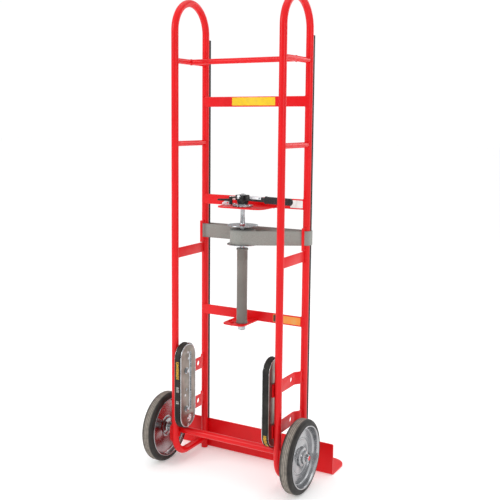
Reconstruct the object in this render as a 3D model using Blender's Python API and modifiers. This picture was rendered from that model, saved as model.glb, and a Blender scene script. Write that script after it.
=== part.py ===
# Appliance hand truck: two looped side frames, nose plate, two wheels, stair climbers,
# and a strap ratchet with its spool and recoil tube. Metres, +Z up, +Y towards the load,
# origin on the floor at the centre of the whole truck's box.
import math

import bmesh
import bpy
from mathutils import Vector

GAP = 0.0003

# Side frames: 1 in tube, rear and front legs 8 in apart, joined by a half-round loop.
HEIGHT = 1.676
TUBE_R = 0.0127
FRAME_X = 0.2076
FRAME_DEPTH = 0.2032
LOOP_R = FRAME_DEPTH / 2
LOOP_Z = HEIGHT - TUBE_R - LOOP_R
BEND_R = 0.070
RUN_Z = 0.040
FOOT_Z = 0.002

# Wheels: 10 in, set so that the tyres and the toe share the footprint's two ends.
FOOTPRINT = 0.446
WHEEL_R = 0.127
AXLE_Y = WHEEL_R - FOOTPRINT / 2
AXLE_Z = WHEEL_R
AXLE_R = 0.00794
AXLE_END_X = 0.3115
WHEEL_X = 0.2755
HUB_FACE = 0.0275

# Rear and front legs, along Y.
REAR_Y = AXLE_Y - 0.036
FRONT_Y = REAR_Y + FRAME_DEPTH
MID_Y = REAR_Y + FRAME_DEPTH / 2

# Cross members.
RUNG_R = 0.0095
TOP_RUNG_Z = 1.460
MIDDLE_RUNG_Z = 1.174
FLAT_THICK = 0.005
FLAT_HIGH = 0.036
FLAT_RUNG_Z = 0.786
FLAT_BAR_Y = REAR_Y + 0.1925
UPPER_BAR_Z = 1.3225
RATCHET_BAR_Z = 0.967
LOWER_BAR_Z = 0.550

# Nose plate and the rubber strips above it.
PLATE_THICK = 0.005
NOSE_WIDE = 0.640
NOSE_HIGH = 0.114
NOSE_Y = FRONT_Y + TUBE_R + GAP
TOE_FRONT = FOOTPRINT / 2
TOE_CORNER_R = 0.055
STRIP_WIDE = 0.024
STRIP_PROUD = 0.0055
STRIP_TOP = 1.545

# Axle brackets.
BRACKET_X = FRAME_X + TUBE_R + 0.0004
BRACKET_REAR = REAR_Y - 0.009
BRACKET_FRONT = AXLE_Y + 0.018
BRACKET_LOW = 0.092
BRACKET_TOP = 0.152

# Stair climbers.
CLIMBER_Y = REAR_Y + 0.016
CLIMBER_INNER = 0.163
CLIMBER_OUTER = 0.189
CLIMBER_SKIN = 0.0018
BELT_OUT_R = 0.051
BELT_IN_R = 0.0436
COVER_R = 0.049
CORE_R = BELT_IN_R - GAP
CLIMBER_LOW = 0.149
CLIMBER_TOP = 0.462
ROLLER_R = 0.026
ROLLER_LOW_Z = CLIMBER_LOW + BELT_OUT_R - BELT_IN_R + GAP + ROLLER_R
ROLLER_TOP_Z = CLIMBER_TOP - BELT_OUT_R + BELT_IN_R - GAP - ROLLER_R
STUD_R = 0.005
CLIMBER_BOLT_Y = REAR_Y + 0.004
CLIMBER_BOLT_R = 0.0048
CLIMBER_BOLTS = {"upper": 0.364, "lower": 0.222}
CLIMBER_BRACKETS = {"upper": 0.353, "lower": 0.209}
CLIMBER_BRACKET_HIGH = 0.045

# Strap ratchet: everything turns about one upright axis.
DRUM_Y = REAR_Y + 0.117
SHAFT_R = 0.00875
RATCHET_PLATE_Z = 0.950
RATCHET_PLATE_HALF = 0.093
RATCHET_PLATE_REAR = REAR_Y + 0.077
RATCHET_PLATE_FRONT = FLAT_BAR_Y - FLAT_THICK / 2 - GAP
FLANGE_R = 0.055
TOP_FLANGE_Z = 0.888
LOW_FLANGE_Z = 0.821
FLANGE_THICK = 0.0025
WEBBING_HIGH = 0.0508
WEBBING_THICK = 0.0024
WEBBING_Z = LOW_FLANGE_Z + FLANGE_THICK + GAP + WEBBING_HIGH / 2
ROLL_R = 0.046
GEAR_Z = RATCHET_PLATE_Z + PLATE_THICK + GAP
GEAR_THICK = 0.008
GEAR_TIP_R = 0.036
GEAR_ROOT_R = 0.0305
GEAR_TEETH = 16
HEAD_LOW = 0.966
HEAD_TOP = 0.994
HEAD_R = 0.021
HANDLE_Z = 0.985
HANDLE_REACH = 0.215
HANDLE_TURN = math.radians(-12)
GRIP_LONG = 0.110
GRIP_R = 0.0125
LEVER_PIVOT = Vector((-0.030, DRUM_Y - 0.032))
LEVER_TIP = Vector((-0.064, REAR_Y + 0.050))
PAWL_PIVOT = Vector((-0.060, DRUM_Y + 0.022))

# Recoil tube under the spool, and the plate that carries it.
LOW_PLATE_Z = 0.5320
RECOIL_R = 0.019
RECOIL_LOW = LOW_PLATE_Z + PLATE_THICK + GAP
RECOIL_TOP = 0.808
RECOIL_WALL = 0.0025
SHAFT_FOOT = 0.511
SHAFT_TOP = 1.001

# Strap guides on the front legs, and the webbing's way around those legs.
GUIDE_LOW = 0.806
GUIDE_TOP = 0.886
GUIDE_Y = REAR_Y + 0.175
GUIDE_WIDE = 0.010
GUIDE_THICK = 0.004
WRAP_R = 0.0149
WRAP_CORNER_R = 0.0045

TUBE_RESOLUTION = 6
ROUND = 28
WHEEL_STEPS = 32

FACING_X = (math.pi / 2, 0, math.pi / 2)
FACING_Y = (math.pi / 2, 0, 0)
SIDES = {"left": -1, "right": 1}

LOOKS = {
    "red_enamel": ((0.80, 0.016, 0.022, 1), 0.32, 0.0),
    "zinc": ((0.52, 0.54, 0.56, 1), 0.32, 1.0),
    "aluminium": ((0.60, 0.60, 0.61, 1), 0.30, 1.0),
    "black_rubber": ((0.018, 0.018, 0.018, 1), 0.75, 0.0),
    "tyre_rubber": ((0.045, 0.042, 0.040, 1), 0.85, 0.0),
    "black_steel": ((0.02, 0.02, 0.022, 1), 0.40, 0.6),
    "grey_webbing": ((0.33, 0.33, 0.31, 1), 0.90, 0.0),
    "grey_enamel": ((0.18, 0.165, 0.15, 1), 0.45, 0.0),
}


def clear_scene():
    for obj in list(bpy.data.objects):
        bpy.data.objects.remove(obj, do_unlink=True)


def collection(name):
    made = bpy.data.collections.new(name)
    bpy.context.scene.collection.children.link(made)
    return made


def look(name):
    found = bpy.data.materials.get(name)
    if found:
        return found
    colour, roughness, metallic = LOOKS[name]
    made = bpy.data.materials.new(name)
    made.use_nodes = True
    shader = made.node_tree.nodes["Principled BSDF"]
    shader.inputs["Base Color"].default_value = colour
    shader.inputs["Roughness"].default_value = roughness
    shader.inputs["Metallic"].default_value = metallic
    return made


def move_to(obj, home):
    for owner in list(obj.users_collection):
        owner.objects.unlink(obj)
    home.objects.link(obj)
    return obj


def piece(obj, name, finish):
    obj.name = name
    obj.data.name = name
    move_to(obj, TRUCK)
    obj.data.materials.clear()
    obj.data.materials.append(look(finish))
    obj.data.shade_smooth()
    obj.data.set_sharp_from_angle(angle=math.radians(32))
    return obj


def tool(obj):
    # A cutter or a shape that a Boolean joins to its piece.
    move_to(obj, TOOLS)
    obj.hide_render = True
    obj.display_type = "WIRE"
    return obj


def boolean(obj, other, operation):
    step = obj.modifiers.new(operation.lower(), "BOOLEAN")
    step.object = tool(other)
    step.operation = operation
    return obj


def cut(obj, *others):
    for other in others:
        boolean(obj, other, "DIFFERENCE")
    return obj


def join(obj, *others):
    for other in others:
        boolean(obj, other, "UNION")
    return obj


def box(size, centre, turn=0.0):
    bpy.ops.mesh.primitive_cube_add(size=1, location=centre, rotation=(0, 0, turn))
    obj = bpy.context.object
    for vertex in obj.data.vertices:
        vertex.co = Vector(a * b for a, b in zip(vertex.co, size))
    return obj


def rod(radius, long, centre, axis="Z", sides=24):
    turns = {"X": (0, math.pi / 2, 0), "Y": (math.pi / 2, 0, 0), "Z": (0, 0, 0)}
    bpy.ops.mesh.primitive_cylinder_add(
        vertices=sides, radius=radius, depth=long, location=centre, rotation=turns[axis]
    )
    return bpy.context.object


def turned(profile, centre, rotation=(0, 0, 0), closed=True, steps=ROUND):
    # Profile points are (radius, height), down the outer side and back up the inner one.
    mesh = bpy.data.meshes.new("turned")
    count = len(profile)
    edges = [(i, (i + 1) % count) for i in range(count if closed else count - 1)]
    mesh.from_pydata([(r, 0, z) for r, z in profile], edges, [])
    obj = bpy.data.objects.new("turned", mesh)
    bpy.context.scene.collection.objects.link(obj)
    obj.location = centre
    obj.rotation_euler = rotation
    screw = obj.modifiers.new("turn", "SCREW")
    screw.steps = steps
    screw.render_steps = steps
    screw.use_merge_vertices = True
    screw.merge_threshold = 0.00001
    return obj


def from_curve(obj):
    bpy.context.view_layer.update()
    graph = bpy.context.evaluated_depsgraph_get()
    mesh = bpy.data.meshes.new_from_object(obj.evaluated_get(graph))
    shell = bmesh.new()
    shell.from_mesh(mesh)
    bmesh.ops.remove_doubles(shell, verts=shell.verts, dist=0.00001)
    bmesh.ops.recalc_face_normals(shell, faces=shell.faces)
    shell.to_mesh(mesh)
    shell.free()
    made = bpy.data.objects.new(obj.name, mesh)
    made.matrix_world = obj.matrix_world
    bpy.context.scene.collection.objects.link(made)
    bpy.data.objects.remove(obj, do_unlink=True)
    return made


def curve(points, dimensions, closed):
    data = bpy.data.curves.new("path", "CURVE")
    data.dimensions = dimensions
    data.render_resolution_u = 0
    spline = data.splines.new("POLY")
    spline.points.add(len(points) - 1)
    for target, point in zip(spline.points, points):
        target.co = (*point, 1) if len(point) == 3 else (*point, 0, 1)
    spline.use_cyclic_u = closed
    obj = bpy.data.objects.new("path", data)
    bpy.context.scene.collection.objects.link(obj)
    return obj


def tube(points, radius, resolution=TUBE_RESOLUTION):
    obj = curve(points, "3D", False)
    obj.data.bevel_depth = radius
    obj.data.bevel_resolution = resolution
    obj.data.use_fill_caps = True
    return from_curve(obj)


def plate(outline, thick, centre, rotation=(0, 0, 0)):
    obj = curve(outline, "2D", True)
    obj.data.fill_mode = "BOTH"
    obj.data.extrude = thick / 2
    obj.location = centre
    obj.rotation_euler = rotation
    return from_curve(obj)


def arc(centre, radius, start, end, steps):
    turns = [math.radians(start + (end - start) * i / steps) for i in range(steps + 1)]
    return [
        (centre[0] + radius * math.cos(a), centre[1] + radius * math.sin(a)) for a in turns
    ]


def rounded(low, high, radii, steps=5):
    # A rectangle from low to high. radii: right-top, left-top, left-bottom, right-bottom.
    corners = ((1, 1, 0), (-1, 1, 90), (-1, -1, 180), (1, -1, 270))
    points = []
    for (across, up, start), radius in zip(corners, radii):
        x = (high[0] if across > 0 else low[0]) - across * radius
        y = (high[1] if up > 0 else low[1]) - up * radius
        points += arc((x, y), radius, start, start + 90, steps) if radius else [(x, y)]
    return points


def stadium(half_wide, low, high, steps=12):
    top = arc((0, high - half_wide), half_wide, 0, 180, steps)
    return top + arc((0, low + half_wide), half_wide, 180, 360, steps)


def strip_outline(path, thick):
    # Both sides of a bent flat strip seen from above.
    points = [Vector(p) for p in path]
    near, far = [], []
    for i, point in enumerate(points):
        before = (point - points[i - 1]).normalized() if i else None
        after = (points[i + 1] - point).normalized() if i + 1 < len(points) else None
        along = ((before or after) + (after or before)).normalized()
        side = Vector((-along.y, along.x))
        stretch = thick / 2 / max(0.5, along.dot(after or before))
        near.append(tuple(point + side * stretch))
        far.append(tuple(point - side * stretch))
    return near + far[::-1]


# Side frames and cross members.


def side_path(x):
    # Front foot, up the front leg, over the loop, down the rear leg, and forward.
    over = arc((MID_Y, LOOP_Z), LOOP_R, 0, 180, 20)
    under = arc((REAR_Y + BEND_R, RUN_Z + BEND_R), BEND_R, 180, 270, 9)
    flat = [(FRONT_Y, FOOT_Z), *over, *under, (FRONT_Y - TUBE_R - 0.0015, RUN_Z)]
    return [(x, y, z) for y, z in flat]


def side_frame(name, s):
    obj = tube(side_path(s * FRAME_X), TUBE_R)
    bead_y = FRONT_Y - TUBE_R
    bead = rod(TUBE_R + 0.0006, 0.014, (s * FRAME_X, bead_y, RUN_Z), "Y")
    return piece(join(obj, bead), name + "_side_frame", "red_enamel")


def side_clearance(s):
    return tool(tube(side_path(s * FRAME_X), TUBE_R + GAP))


def round_rung(name, s, z, label):
    long = FRAME_DEPTH
    obj = rod(RUNG_R, long, (s * FRAME_X, MID_Y, z), "Y", 20)
    return piece(cut(obj, CLEAR[s]), f"{name}_{label}_rung", "red_enamel")


def flat_rung(name, s):
    obj = box((FLAT_THICK, FRAME_DEPTH, FLAT_HIGH), (s * FRAME_X, MID_Y, FLAT_RUNG_Z))
    return piece(cut(obj, CLEAR[s]), name + "_flat_rung", "red_enamel")


def top_crossbar():
    obj = rod(RUNG_R, 2 * FRAME_X, (0, MID_Y, TOP_RUNG_Z), "X", 20)
    for s in SIDES.values():
        cope = rod(RUNG_R + GAP, FRAME_DEPTH, (s * FRAME_X, MID_Y, TOP_RUNG_Z), "Y", 20)
        cut(obj, cope)
    return piece(obj, "top_crossbar", "red_enamel")


def flat_bar(name, z):
    obj = box((2 * FRAME_X, FLAT_THICK, FLAT_HIGH), (0, FLAT_BAR_Y, z))
    return piece(cut(obj, CLEAR[-1], CLEAR[1]), name, "red_enamel")


def front_strip(name, s):
    low = NOSE_HIGH + 0.002
    front = FRONT_Y + TUBE_R + STRIP_PROUD
    size = (STRIP_WIDE, front - FRONT_Y, STRIP_TOP - low)
    centre = (s * FRAME_X, (front + FRONT_Y) / 2, (STRIP_TOP + low) / 2)
    return piece(cut(box(size, centre), CLEAR[s]), name + "_front_strip", "black_rubber")


def nose_plate():
    half = NOSE_WIDE / 2
    toe_outline = rounded(
        (-half, NOSE_Y + 0.001), (half, TOE_FRONT), (TOE_CORNER_R, TOE_CORNER_R, 0, 0), 8
    )
    back_outline = rounded((-half, 0), (half, NOSE_HIGH), (0.006, 0.006, 0, 0), 3)
    back_y = NOSE_Y + PLATE_THICK / 2
    obj = plate(back_outline, PLATE_THICK, (0, back_y, 0), FACING_Y)
    toe = plate(toe_outline, PLATE_THICK, (0, 0, PLATE_THICK / 2 + 0.00002))
    return piece(join(obj, toe), "nose_plate", "red_enamel")


# Axle and wheels.


def ring(outer, inner, low, high):
    return [(inner, high), (outer, high), (outer, low), (inner, low)]


def axle_tube():
    half = BRACKET_X - GAP
    profile = ring(TUBE_R, AXLE_R + GAP, -half, half)
    obj = turned(profile, (0, AXLE_Y, AXLE_Z), (0, math.pi / 2, 0), steps=20)
    return piece(obj, "axle_tube", "red_enamel")


def axle():
    end, chamfer = AXLE_END_X, 0.0015
    profile = [(0, end), (AXLE_R - chamfer, end), (AXLE_R, end - chamfer)]
    profile += [(r, -z) for r, z in reversed(profile)]
    obj = turned(profile, (0, AXLE_Y, AXLE_Z), (0, math.pi / 2, 0), False, 20)
    return piece(obj, "axle", "red_enamel")


def axle_bracket(name, s):
    outline = rounded(
        (BRACKET_REAR, BRACKET_LOW), (BRACKET_FRONT, BRACKET_TOP), (0.01,) * 4, 4
    )
    x = s * (BRACKET_X + PLATE_THICK / 2)
    obj = plate(outline, PLATE_THICK, (x, 0, 0), FACING_X)
    hole = rod(AXLE_R + GAP, 0.02, (x, AXLE_Y, AXLE_Z), "X", 20)
    return piece(cut(obj, hole), name + "_axle_bracket", "red_enamel")


def wheel_turn(s):
    return (0, s * math.pi / 2, 0)


def tyre(name, s):
    # Flat tread, rounded shoulders, and sidewalls that fall in towards the rim.
    half = [(0.104, 0.020), (0.112, 0.0215), (0.1205, 0.0197)]
    half += [(0.1255, 0.0155), (WHEEL_R, 0.0105)]
    profile = half + [(r, -z) for r, z in reversed(half)]
    obj = turned(profile, (s * WHEEL_X, AXLE_Y, AXLE_Z), wheel_turn(s), steps=WHEEL_STEPS)
    return piece(obj, name + "_tyre", "tyre_rubber")


def wheel_disc(name, s):
    # Rolled rim with a lip each side, a web set deep inside, and a stepped hub.
    inner_hub = -(WHEEL_X - BRACKET_X - PLATE_THICK - 0.0006)
    rim = [(0.1045, 0.0235), (0.107, 0.023), (0.107, 0.0216), (0.1037, 0.0212)]
    rim += [(r, -z) for r, z in reversed(rim)]
    back = [(0.1015, -0.022), (0.100, -0.016), (0.097, -0.006)]
    back += [(0.034, -0.005), (0.030, -0.012)]
    hub = [(0.0175, -0.016), (0.0165, inner_hub), (AXLE_R + GAP, inner_hub)]
    front = [(AXLE_R + GAP, HUB_FACE), (0.013, HUB_FACE), (0.0135, 0.0205)]
    step = [(0.0215, 0.0185), (0.0225, 0.009), (0.0315, 0.0075), (0.033, 0.001)]
    dish = [(0.060, 0.0), (0.096, -0.001), (0.1003, 0.009), (0.1015, 0.022)]
    profile = rim + back + hub + front + step + dish
    obj = turned(profile, (s * WHEEL_X, AXLE_Y, AXLE_Z), wheel_turn(s), steps=WHEEL_STEPS)
    return piece(obj, name + "_wheel_disc", "aluminium")


def axle_washer(name, s):
    low = HUB_FACE + GAP
    profile = ring(0.0125, AXLE_R + GAP, low, low + 0.0025)
    obj = turned(profile, (s * WHEEL_X, AXLE_Y, AXLE_Z), wheel_turn(s), steps=24)
    return piece(obj, name + "_axle_washer", "zinc")


# Stair climbers.


def climber_centre(s, inner, outer):
    return (s * (inner + outer) / 2, CLIMBER_Y, 0)


def climber_bolt_holes(s, radius):
    x = s * (CLIMBER_INNER + CLIMBER_OUTER) / 2
    return [
        rod(radius, 0.06, (x, CLIMBER_BOLT_Y, z), "X", 16) for z in CLIMBER_BOLTS.values()
    ]


def climber_cover(name, s):
    outer = CLIMBER_INNER + CLIMBER_SKIN
    centre = climber_centre(s, CLIMBER_INNER, outer)
    shape = stadium(COVER_R, CLIMBER_LOW + 0.002, CLIMBER_TOP - 0.002)
    obj = plate(shape, CLIMBER_SKIN, centre, FACING_X)
    window = plate(stadium(0.011, 0.166, 0.196, 6), 0.01, (centre[0], CLIMBER_Y, 0), FACING_X)
    window.location.y += 0.012
    studs = [
        rod(STUD_R + GAP, 0.01, (centre[0], CLIMBER_Y, z), "X", 16)
        for z in (ROLLER_LOW_Z, ROLLER_TOP_Z)
    ]
    cut(obj, window, *studs, *climber_bolt_holes(s, CLIMBER_BOLT_R + GAP))
    return piece(obj, name + "_climber_cover", "zinc")


def climber_housing(name, s):
    # The outer plate with the guide that the belt runs round, and a stud for each roller.
    inner = CLIMBER_OUTER - CLIMBER_SKIN
    shape = stadium(COVER_R, CLIMBER_LOW + 0.002, CLIMBER_TOP - 0.002)
    obj = plate(shape, CLIMBER_SKIN, climber_centre(s, inner, CLIMBER_OUTER), FACING_X)
    core_in = CLIMBER_INNER + CLIMBER_SKIN + GAP
    core_out = inner + 0.0004
    middle = (core_in + core_out) / 2
    edge = BELT_OUT_R - BELT_IN_R + GAP
    shape = stadium(CORE_R, CLIMBER_LOW + edge, CLIMBER_TOP - edge)
    core = plate(shape, core_out - core_in, (s * middle, CLIMBER_Y, 0), FACING_X)
    pocket_x = s * (middle - 0.001)
    for z in (ROLLER_LOW_Z, ROLLER_TOP_Z):
        pocket_at = (pocket_x, CLIMBER_Y, z)
        cut(core, rod(ROLLER_R + 0.0005, core_out - core_in, pocket_at, "X", ROUND))
    join(obj, core)
    stud_in = CLIMBER_INNER + 0.0004
    stud_out = CLIMBER_OUTER - 0.0006
    long = stud_out - stud_in
    for z in (ROLLER_LOW_Z, ROLLER_TOP_Z):
        join(obj, rod(STUD_R, long, (s * (stud_in + stud_out) / 2, CLIMBER_Y, z), "X", 16))
    cut(obj, *climber_bolt_holes(s, CLIMBER_BOLT_R + GAP))
    return piece(obj, name + "_climber_housing", "zinc")


def climber_belt(name, s):
    inner = CLIMBER_INNER + CLIMBER_SKIN + GAP
    outer = CLIMBER_OUTER - CLIMBER_SKIN - GAP
    centre = climber_centre(s, inner, outer)
    shape = stadium(BELT_OUT_R, CLIMBER_LOW, CLIMBER_TOP, 14)
    obj = plate(shape, outer - inner, centre, FACING_X)
    edge = BELT_OUT_R - BELT_IN_R
    hole = plate(
        stadium(BELT_IN_R, CLIMBER_LOW + edge, CLIMBER_TOP - edge, 14), 0.05, centre, FACING_X
    )
    return piece(cut(obj, hole), name + "_climber_belt", "black_rubber")


def climber_roller(name, s, label, z):
    # It sits in the guide's pocket, clear of the plate behind it.
    low = CLIMBER_INNER + CLIMBER_SKIN + 0.0004
    high = CLIMBER_OUTER - CLIMBER_SKIN - 0.0016
    half = (high - low) / 2
    chamfer = 0.0015
    bore = STUD_R + GAP
    profile = [(bore, half), (ROLLER_R - chamfer, half), (ROLLER_R, half - chamfer)]
    profile += [(r, -z) for r, z in reversed(profile)]
    centre = (s * (low + high) / 2, CLIMBER_Y, z)
    obj = turned(profile, centre, wheel_turn(s), steps=20)
    return piece(obj, f"{name}_{label}_roller", "zinc")


def climber_bolt(name, s, label, z):
    # A hex head on the inner side, and a shank that ends flush with the bracket.
    face = CLIMBER_INNER - GAP
    head = 0.006
    end = CLIMBER_OUTER + GAP + PLATE_THICK
    obj = rod(0.0095, head, (s * (face - head / 2), CLIMBER_BOLT_Y, z), "X", 6)
    shank_start = face - head / 2
    middle = s * (shank_start + end) / 2
    shank = rod(CLIMBER_BOLT_R, end - shank_start, (middle, CLIMBER_BOLT_Y, z), "X", 16)
    return piece(join(obj, shank), f"{name}_climber_{label}_bolt", "zinc")


def climber_bracket(name, s, label, z):
    # Straight along the climber, then out to the back of the front leg.
    x = CLIMBER_OUTER + GAP + PLATE_THICK / 2
    path = [
        (s * x, REAR_Y - 0.010),
        (s * x, REAR_Y + 0.156),
        (s * (FRAME_X - 0.001), REAR_Y + 0.174),
        (s * (FRAME_X - 0.001), REAR_Y + 0.198),
    ]
    obj = plate(strip_outline(path, PLATE_THICK), CLIMBER_BRACKET_HIGH, (0, 0, z))
    hole = rod(0.010, 0.03, (s * x, REAR_Y + 0.130, z + 0.002), "X", 20)
    bolt_at = (s * x, CLIMBER_BOLT_Y, CLIMBER_BOLTS[label])
    bolt = rod(CLIMBER_BOLT_R + GAP, 0.03, bolt_at, "X", 16)
    cut(obj, hole, bolt, CLEAR[s])
    return piece(obj, f"{name}_climber_{label}_bracket", "red_enamel")


# Strap ratchet.


def ratchet_plate():
    low = (-RATCHET_PLATE_HALF, RATCHET_PLATE_REAR)
    high = (RATCHET_PLATE_HALF, RATCHET_PLATE_FRONT)
    outline = rounded(low, high, (0.008, 0.008, 0.034, 0.034), 6)
    obj = plate(outline, PLATE_THICK, (0, 0, RATCHET_PLATE_Z + PLATE_THICK / 2))
    cut(obj, rod(SHAFT_R + 0.0006, 0.02, (0, DRUM_Y, RATCHET_PLATE_Z)))
    pin_top = GEAR_Z + GEAR_THICK + 0.002
    pin_low = RATCHET_PLATE_Z - 0.006
    centre = (*PAWL_PIVOT, (pin_top + pin_low) / 2)
    join(obj, rod(0.003, pin_top - pin_low, centre, sides=14))
    return piece(obj, "ratchet_plate", "red_enamel")


def drum():
    # One upright shaft with the spool's two flanges and a stepped top end.
    profile = [
        (0, SHAFT_TOP),
        (0.006, SHAFT_TOP),
        (0.006, HEAD_TOP),
        (SHAFT_R, HEAD_TOP - 0.002),
        (SHAFT_R, TOP_FLANGE_Z + FLANGE_THICK),
        (FLANGE_R, TOP_FLANGE_Z + FLANGE_THICK),
        (FLANGE_R, TOP_FLANGE_Z),
        (SHAFT_R, TOP_FLANGE_Z),
        (SHAFT_R, LOW_FLANGE_Z + FLANGE_THICK),
        (FLANGE_R, LOW_FLANGE_Z + FLANGE_THICK),
        (FLANGE_R, LOW_FLANGE_Z),
        (SHAFT_R, LOW_FLANGE_Z),
        (SHAFT_R, SHAFT_FOOT),
        (0, SHAFT_FOOT),
    ]
    return piece(turned(profile, (0, DRUM_Y, 0), closed=False), "strap_drum", "zinc")


def strap_roll():
    half = WEBBING_HIGH / 2
    profile = ring(ROLL_R, SHAFT_R + GAP, WEBBING_Z - half, WEBBING_Z + half)
    return piece(turned(profile, (0, DRUM_Y, 0)), "strap_roll", "grey_webbing")


def ratchet_gear():
    # Saw teeth: each rises slowly from the root and drops back along a radius.
    pitch = 2 * math.pi / GEAR_TEETH
    outline = []
    for tooth in range(GEAR_TEETH):
        for share, radius in ((0.0, GEAR_ROOT_R), (0.88, GEAR_TIP_R), (1.0, GEAR_TIP_R)):
            turn = (tooth + share * 0.98) * pitch
            outline.append((radius * math.cos(turn), radius * math.sin(turn)))
    obj = plate(outline, GEAR_THICK, (0, DRUM_Y, GEAR_Z + GEAR_THICK / 2))
    cut(obj, rod(SHAFT_R + GAP, 0.03, (0, DRUM_Y, GEAR_Z), sides=ROUND))
    return piece(obj, "ratchet_gear", "zinc")


def along_handle(reach, side=0.0, z=HANDLE_Z):
    c, s = math.cos(HANDLE_TURN), math.sin(HANDLE_TURN)
    return (reach * c - side * s, DRUM_Y + reach * s + side * c, z)


def ratchet_handle():
    # A collar on the shaft, a jaw plate, a flat arm into the grip, and the drive pawl's pin.
    collar = ring(HEAD_R, SHAFT_R + 0.0006, HEAD_LOW, HEAD_TOP - 0.003)
    obj = turned(collar, (0, DRUM_Y, 0), steps=ROUND)
    start = HEAD_R - 0.008
    jaw = box((0.040, 0.030, 0.012), along_handle(start + 0.020, 0, 0.985), HANDLE_TURN)
    arm_long = HANDLE_REACH - start - 0.004
    arm = box((arm_long, 0.011, 0.0085), along_handle(start + arm_long / 2), HANDLE_TURN)
    to_pin = LEVER_PIVOT - Vector((0, DRUM_Y))
    reach = to_pin.length
    turn = math.atan2(to_pin.y, to_pin.x)
    far = (reach + HEAD_R - 0.006) / 2
    tab_at = (far * math.cos(turn), DRUM_Y + far * math.sin(turn), 0.9885)
    tab = box((reach - HEAD_R + 0.014, 0.014, 0.004), tab_at, turn)
    pin = rod(0.0025, 0.024, (*LEVER_PIVOT, 0.980), sides=12)
    return piece(join(obj, jaw, arm, tab, pin), "ratchet_handle", "black_steel")


def handle_grip():
    start = HANDLE_REACH - GRIP_LONG
    profile = [
        (GRIP_R - 0.003, GRIP_LONG),
        (GRIP_R, GRIP_LONG - 0.004),
        (GRIP_R, 0.004),
        (GRIP_R - 0.0015, 0),
    ]
    obj = turned([(0, GRIP_LONG), *profile, (0, 0)], along_handle(start), closed=False, steps=24)
    obj.rotation_euler = (0, math.pi / 2, HANDLE_TURN)
    slot_long = GRIP_LONG - 0.002
    slot_at = along_handle(start + slot_long / 2 - 0.002)
    slot = box((slot_long, 0.011 + 2 * GAP, 0.0085 + 2 * GAP), slot_at, HANDLE_TURN)
    return piece(cut(obj, slot), "handle_grip", "black_rubber")


def drive_pawl():
    # A hub on the head's pin with the thumb lever that lifts it.
    hub_low, hub_top = HEAD_LOW - 0.002, 0.9862
    obj = rod(0.006, hub_top - hub_low, (*LEVER_PIVOT, (hub_low + hub_top) / 2), sides=20)
    away = (LEVER_TIP - LEVER_PIVOT).normalized()
    root = LEVER_PIVOT + away * 0.004
    finger = tube([(*root, 0.980), (*LEVER_TIP, 0.982)], 0.0032, 3)
    join(obj, finger)
    cut(obj, rod(0.0028, 0.05, (*LEVER_PIVOT, 0.980), sides=12))
    return piece(obj, "drive_pawl", "black_steel")


def holding_pawl():
    # A hub on the plate's pin and a finger that lies on the gear's teeth.
    middle = GEAR_Z + GEAR_THICK / 2
    thick = GEAR_THICK - 0.001
    obj = rod(0.008, thick, (*PAWL_PIVOT, middle), sides=20)
    axis = Vector((0, DRUM_Y))
    inward = (axis - PAWL_PIVOT).normalized()
    square = Vector((inward.y, -inward.x))
    tip = axis - inward * (GEAR_TIP_R + 0.0008) - square * 0.014
    finger = [PAWL_PIVOT + inward * 0.006, tip, PAWL_PIVOT - square * 0.0075]
    join(obj, plate([tuple(p) for p in finger], thick - 0.001, (0, 0, middle)))
    cut(obj, rod(0.0033, 0.05, (*PAWL_PIVOT, middle), sides=14))
    return piece(obj, "holding_pawl", "zinc")


def lower_plate():
    low = (-0.062, REAR_Y + 0.078)
    high = (0.026, RATCHET_PLATE_FRONT)
    outline = rounded(low, high, (0.004, 0.004, 0.02, 0.02))
    obj = plate(outline, PLATE_THICK, (0, 0, LOW_PLATE_Z + PLATE_THICK / 2))
    cut(obj, rod(SHAFT_R + 0.0006, 0.02, (0, DRUM_Y, LOW_PLATE_Z)))
    for x, y in ((-0.048, 0.118), (-0.030, 0.098)):
        join(obj, rod(0.006, 0.016, (x, REAR_Y + y, LOW_PLATE_Z + 0.002), sides=6))
    return piece(obj, "lower_plate", "red_enamel")


def lower_nut():
    high = LOW_PLATE_Z - GAP
    low = SHAFT_FOOT + 0.003
    obj = rod(0.0155, high - low, (0, DRUM_Y, (low + high) / 2), sides=6)
    cut(obj, rod(SHAFT_R + GAP, 0.05, (0, DRUM_Y, low), sides=ROUND))
    return piece(obj, "lower_nut", "zinc")


def recoil_tube():
    # An open sleeve whose two ends close in around the shaft.
    bore = RECOIL_R - RECOIL_WALL
    hole = SHAFT_R + 0.0006
    profile = [
        (hole, RECOIL_TOP),
        (RECOIL_R + 0.002, RECOIL_TOP),
        (RECOIL_R + 0.002, RECOIL_TOP - 0.007),
        (RECOIL_R, RECOIL_TOP - 0.007),
        (RECOIL_R, RECOIL_LOW),
        (hole, RECOIL_LOW),
        (hole, RECOIL_LOW + 0.004),
        (bore, RECOIL_LOW + 0.004),
        (bore, RECOIL_TOP - 0.005),
        (hole, RECOIL_TOP - 0.005),
    ]
    return piece(turned(profile, (0, DRUM_Y, 0)), "recoil_tube", "grey_enamel")


def recoil_spring():
    low, high = RECOIL_LOW + 0.010, RECOIL_TOP - 0.012
    turns, per_turn, radius = 8, 8, 0.0127
    points = []
    for i in range(turns * per_turn + 1):
        turn = 2 * math.pi * i / per_turn
        z = low + (high - low) * i / (turns * per_turn)
        points.append((radius * math.cos(turn), DRUM_Y + radius * math.sin(turn), z))
    return piece(tube(points, 0.0013, 1), "recoil_spring", "zinc")


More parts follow.
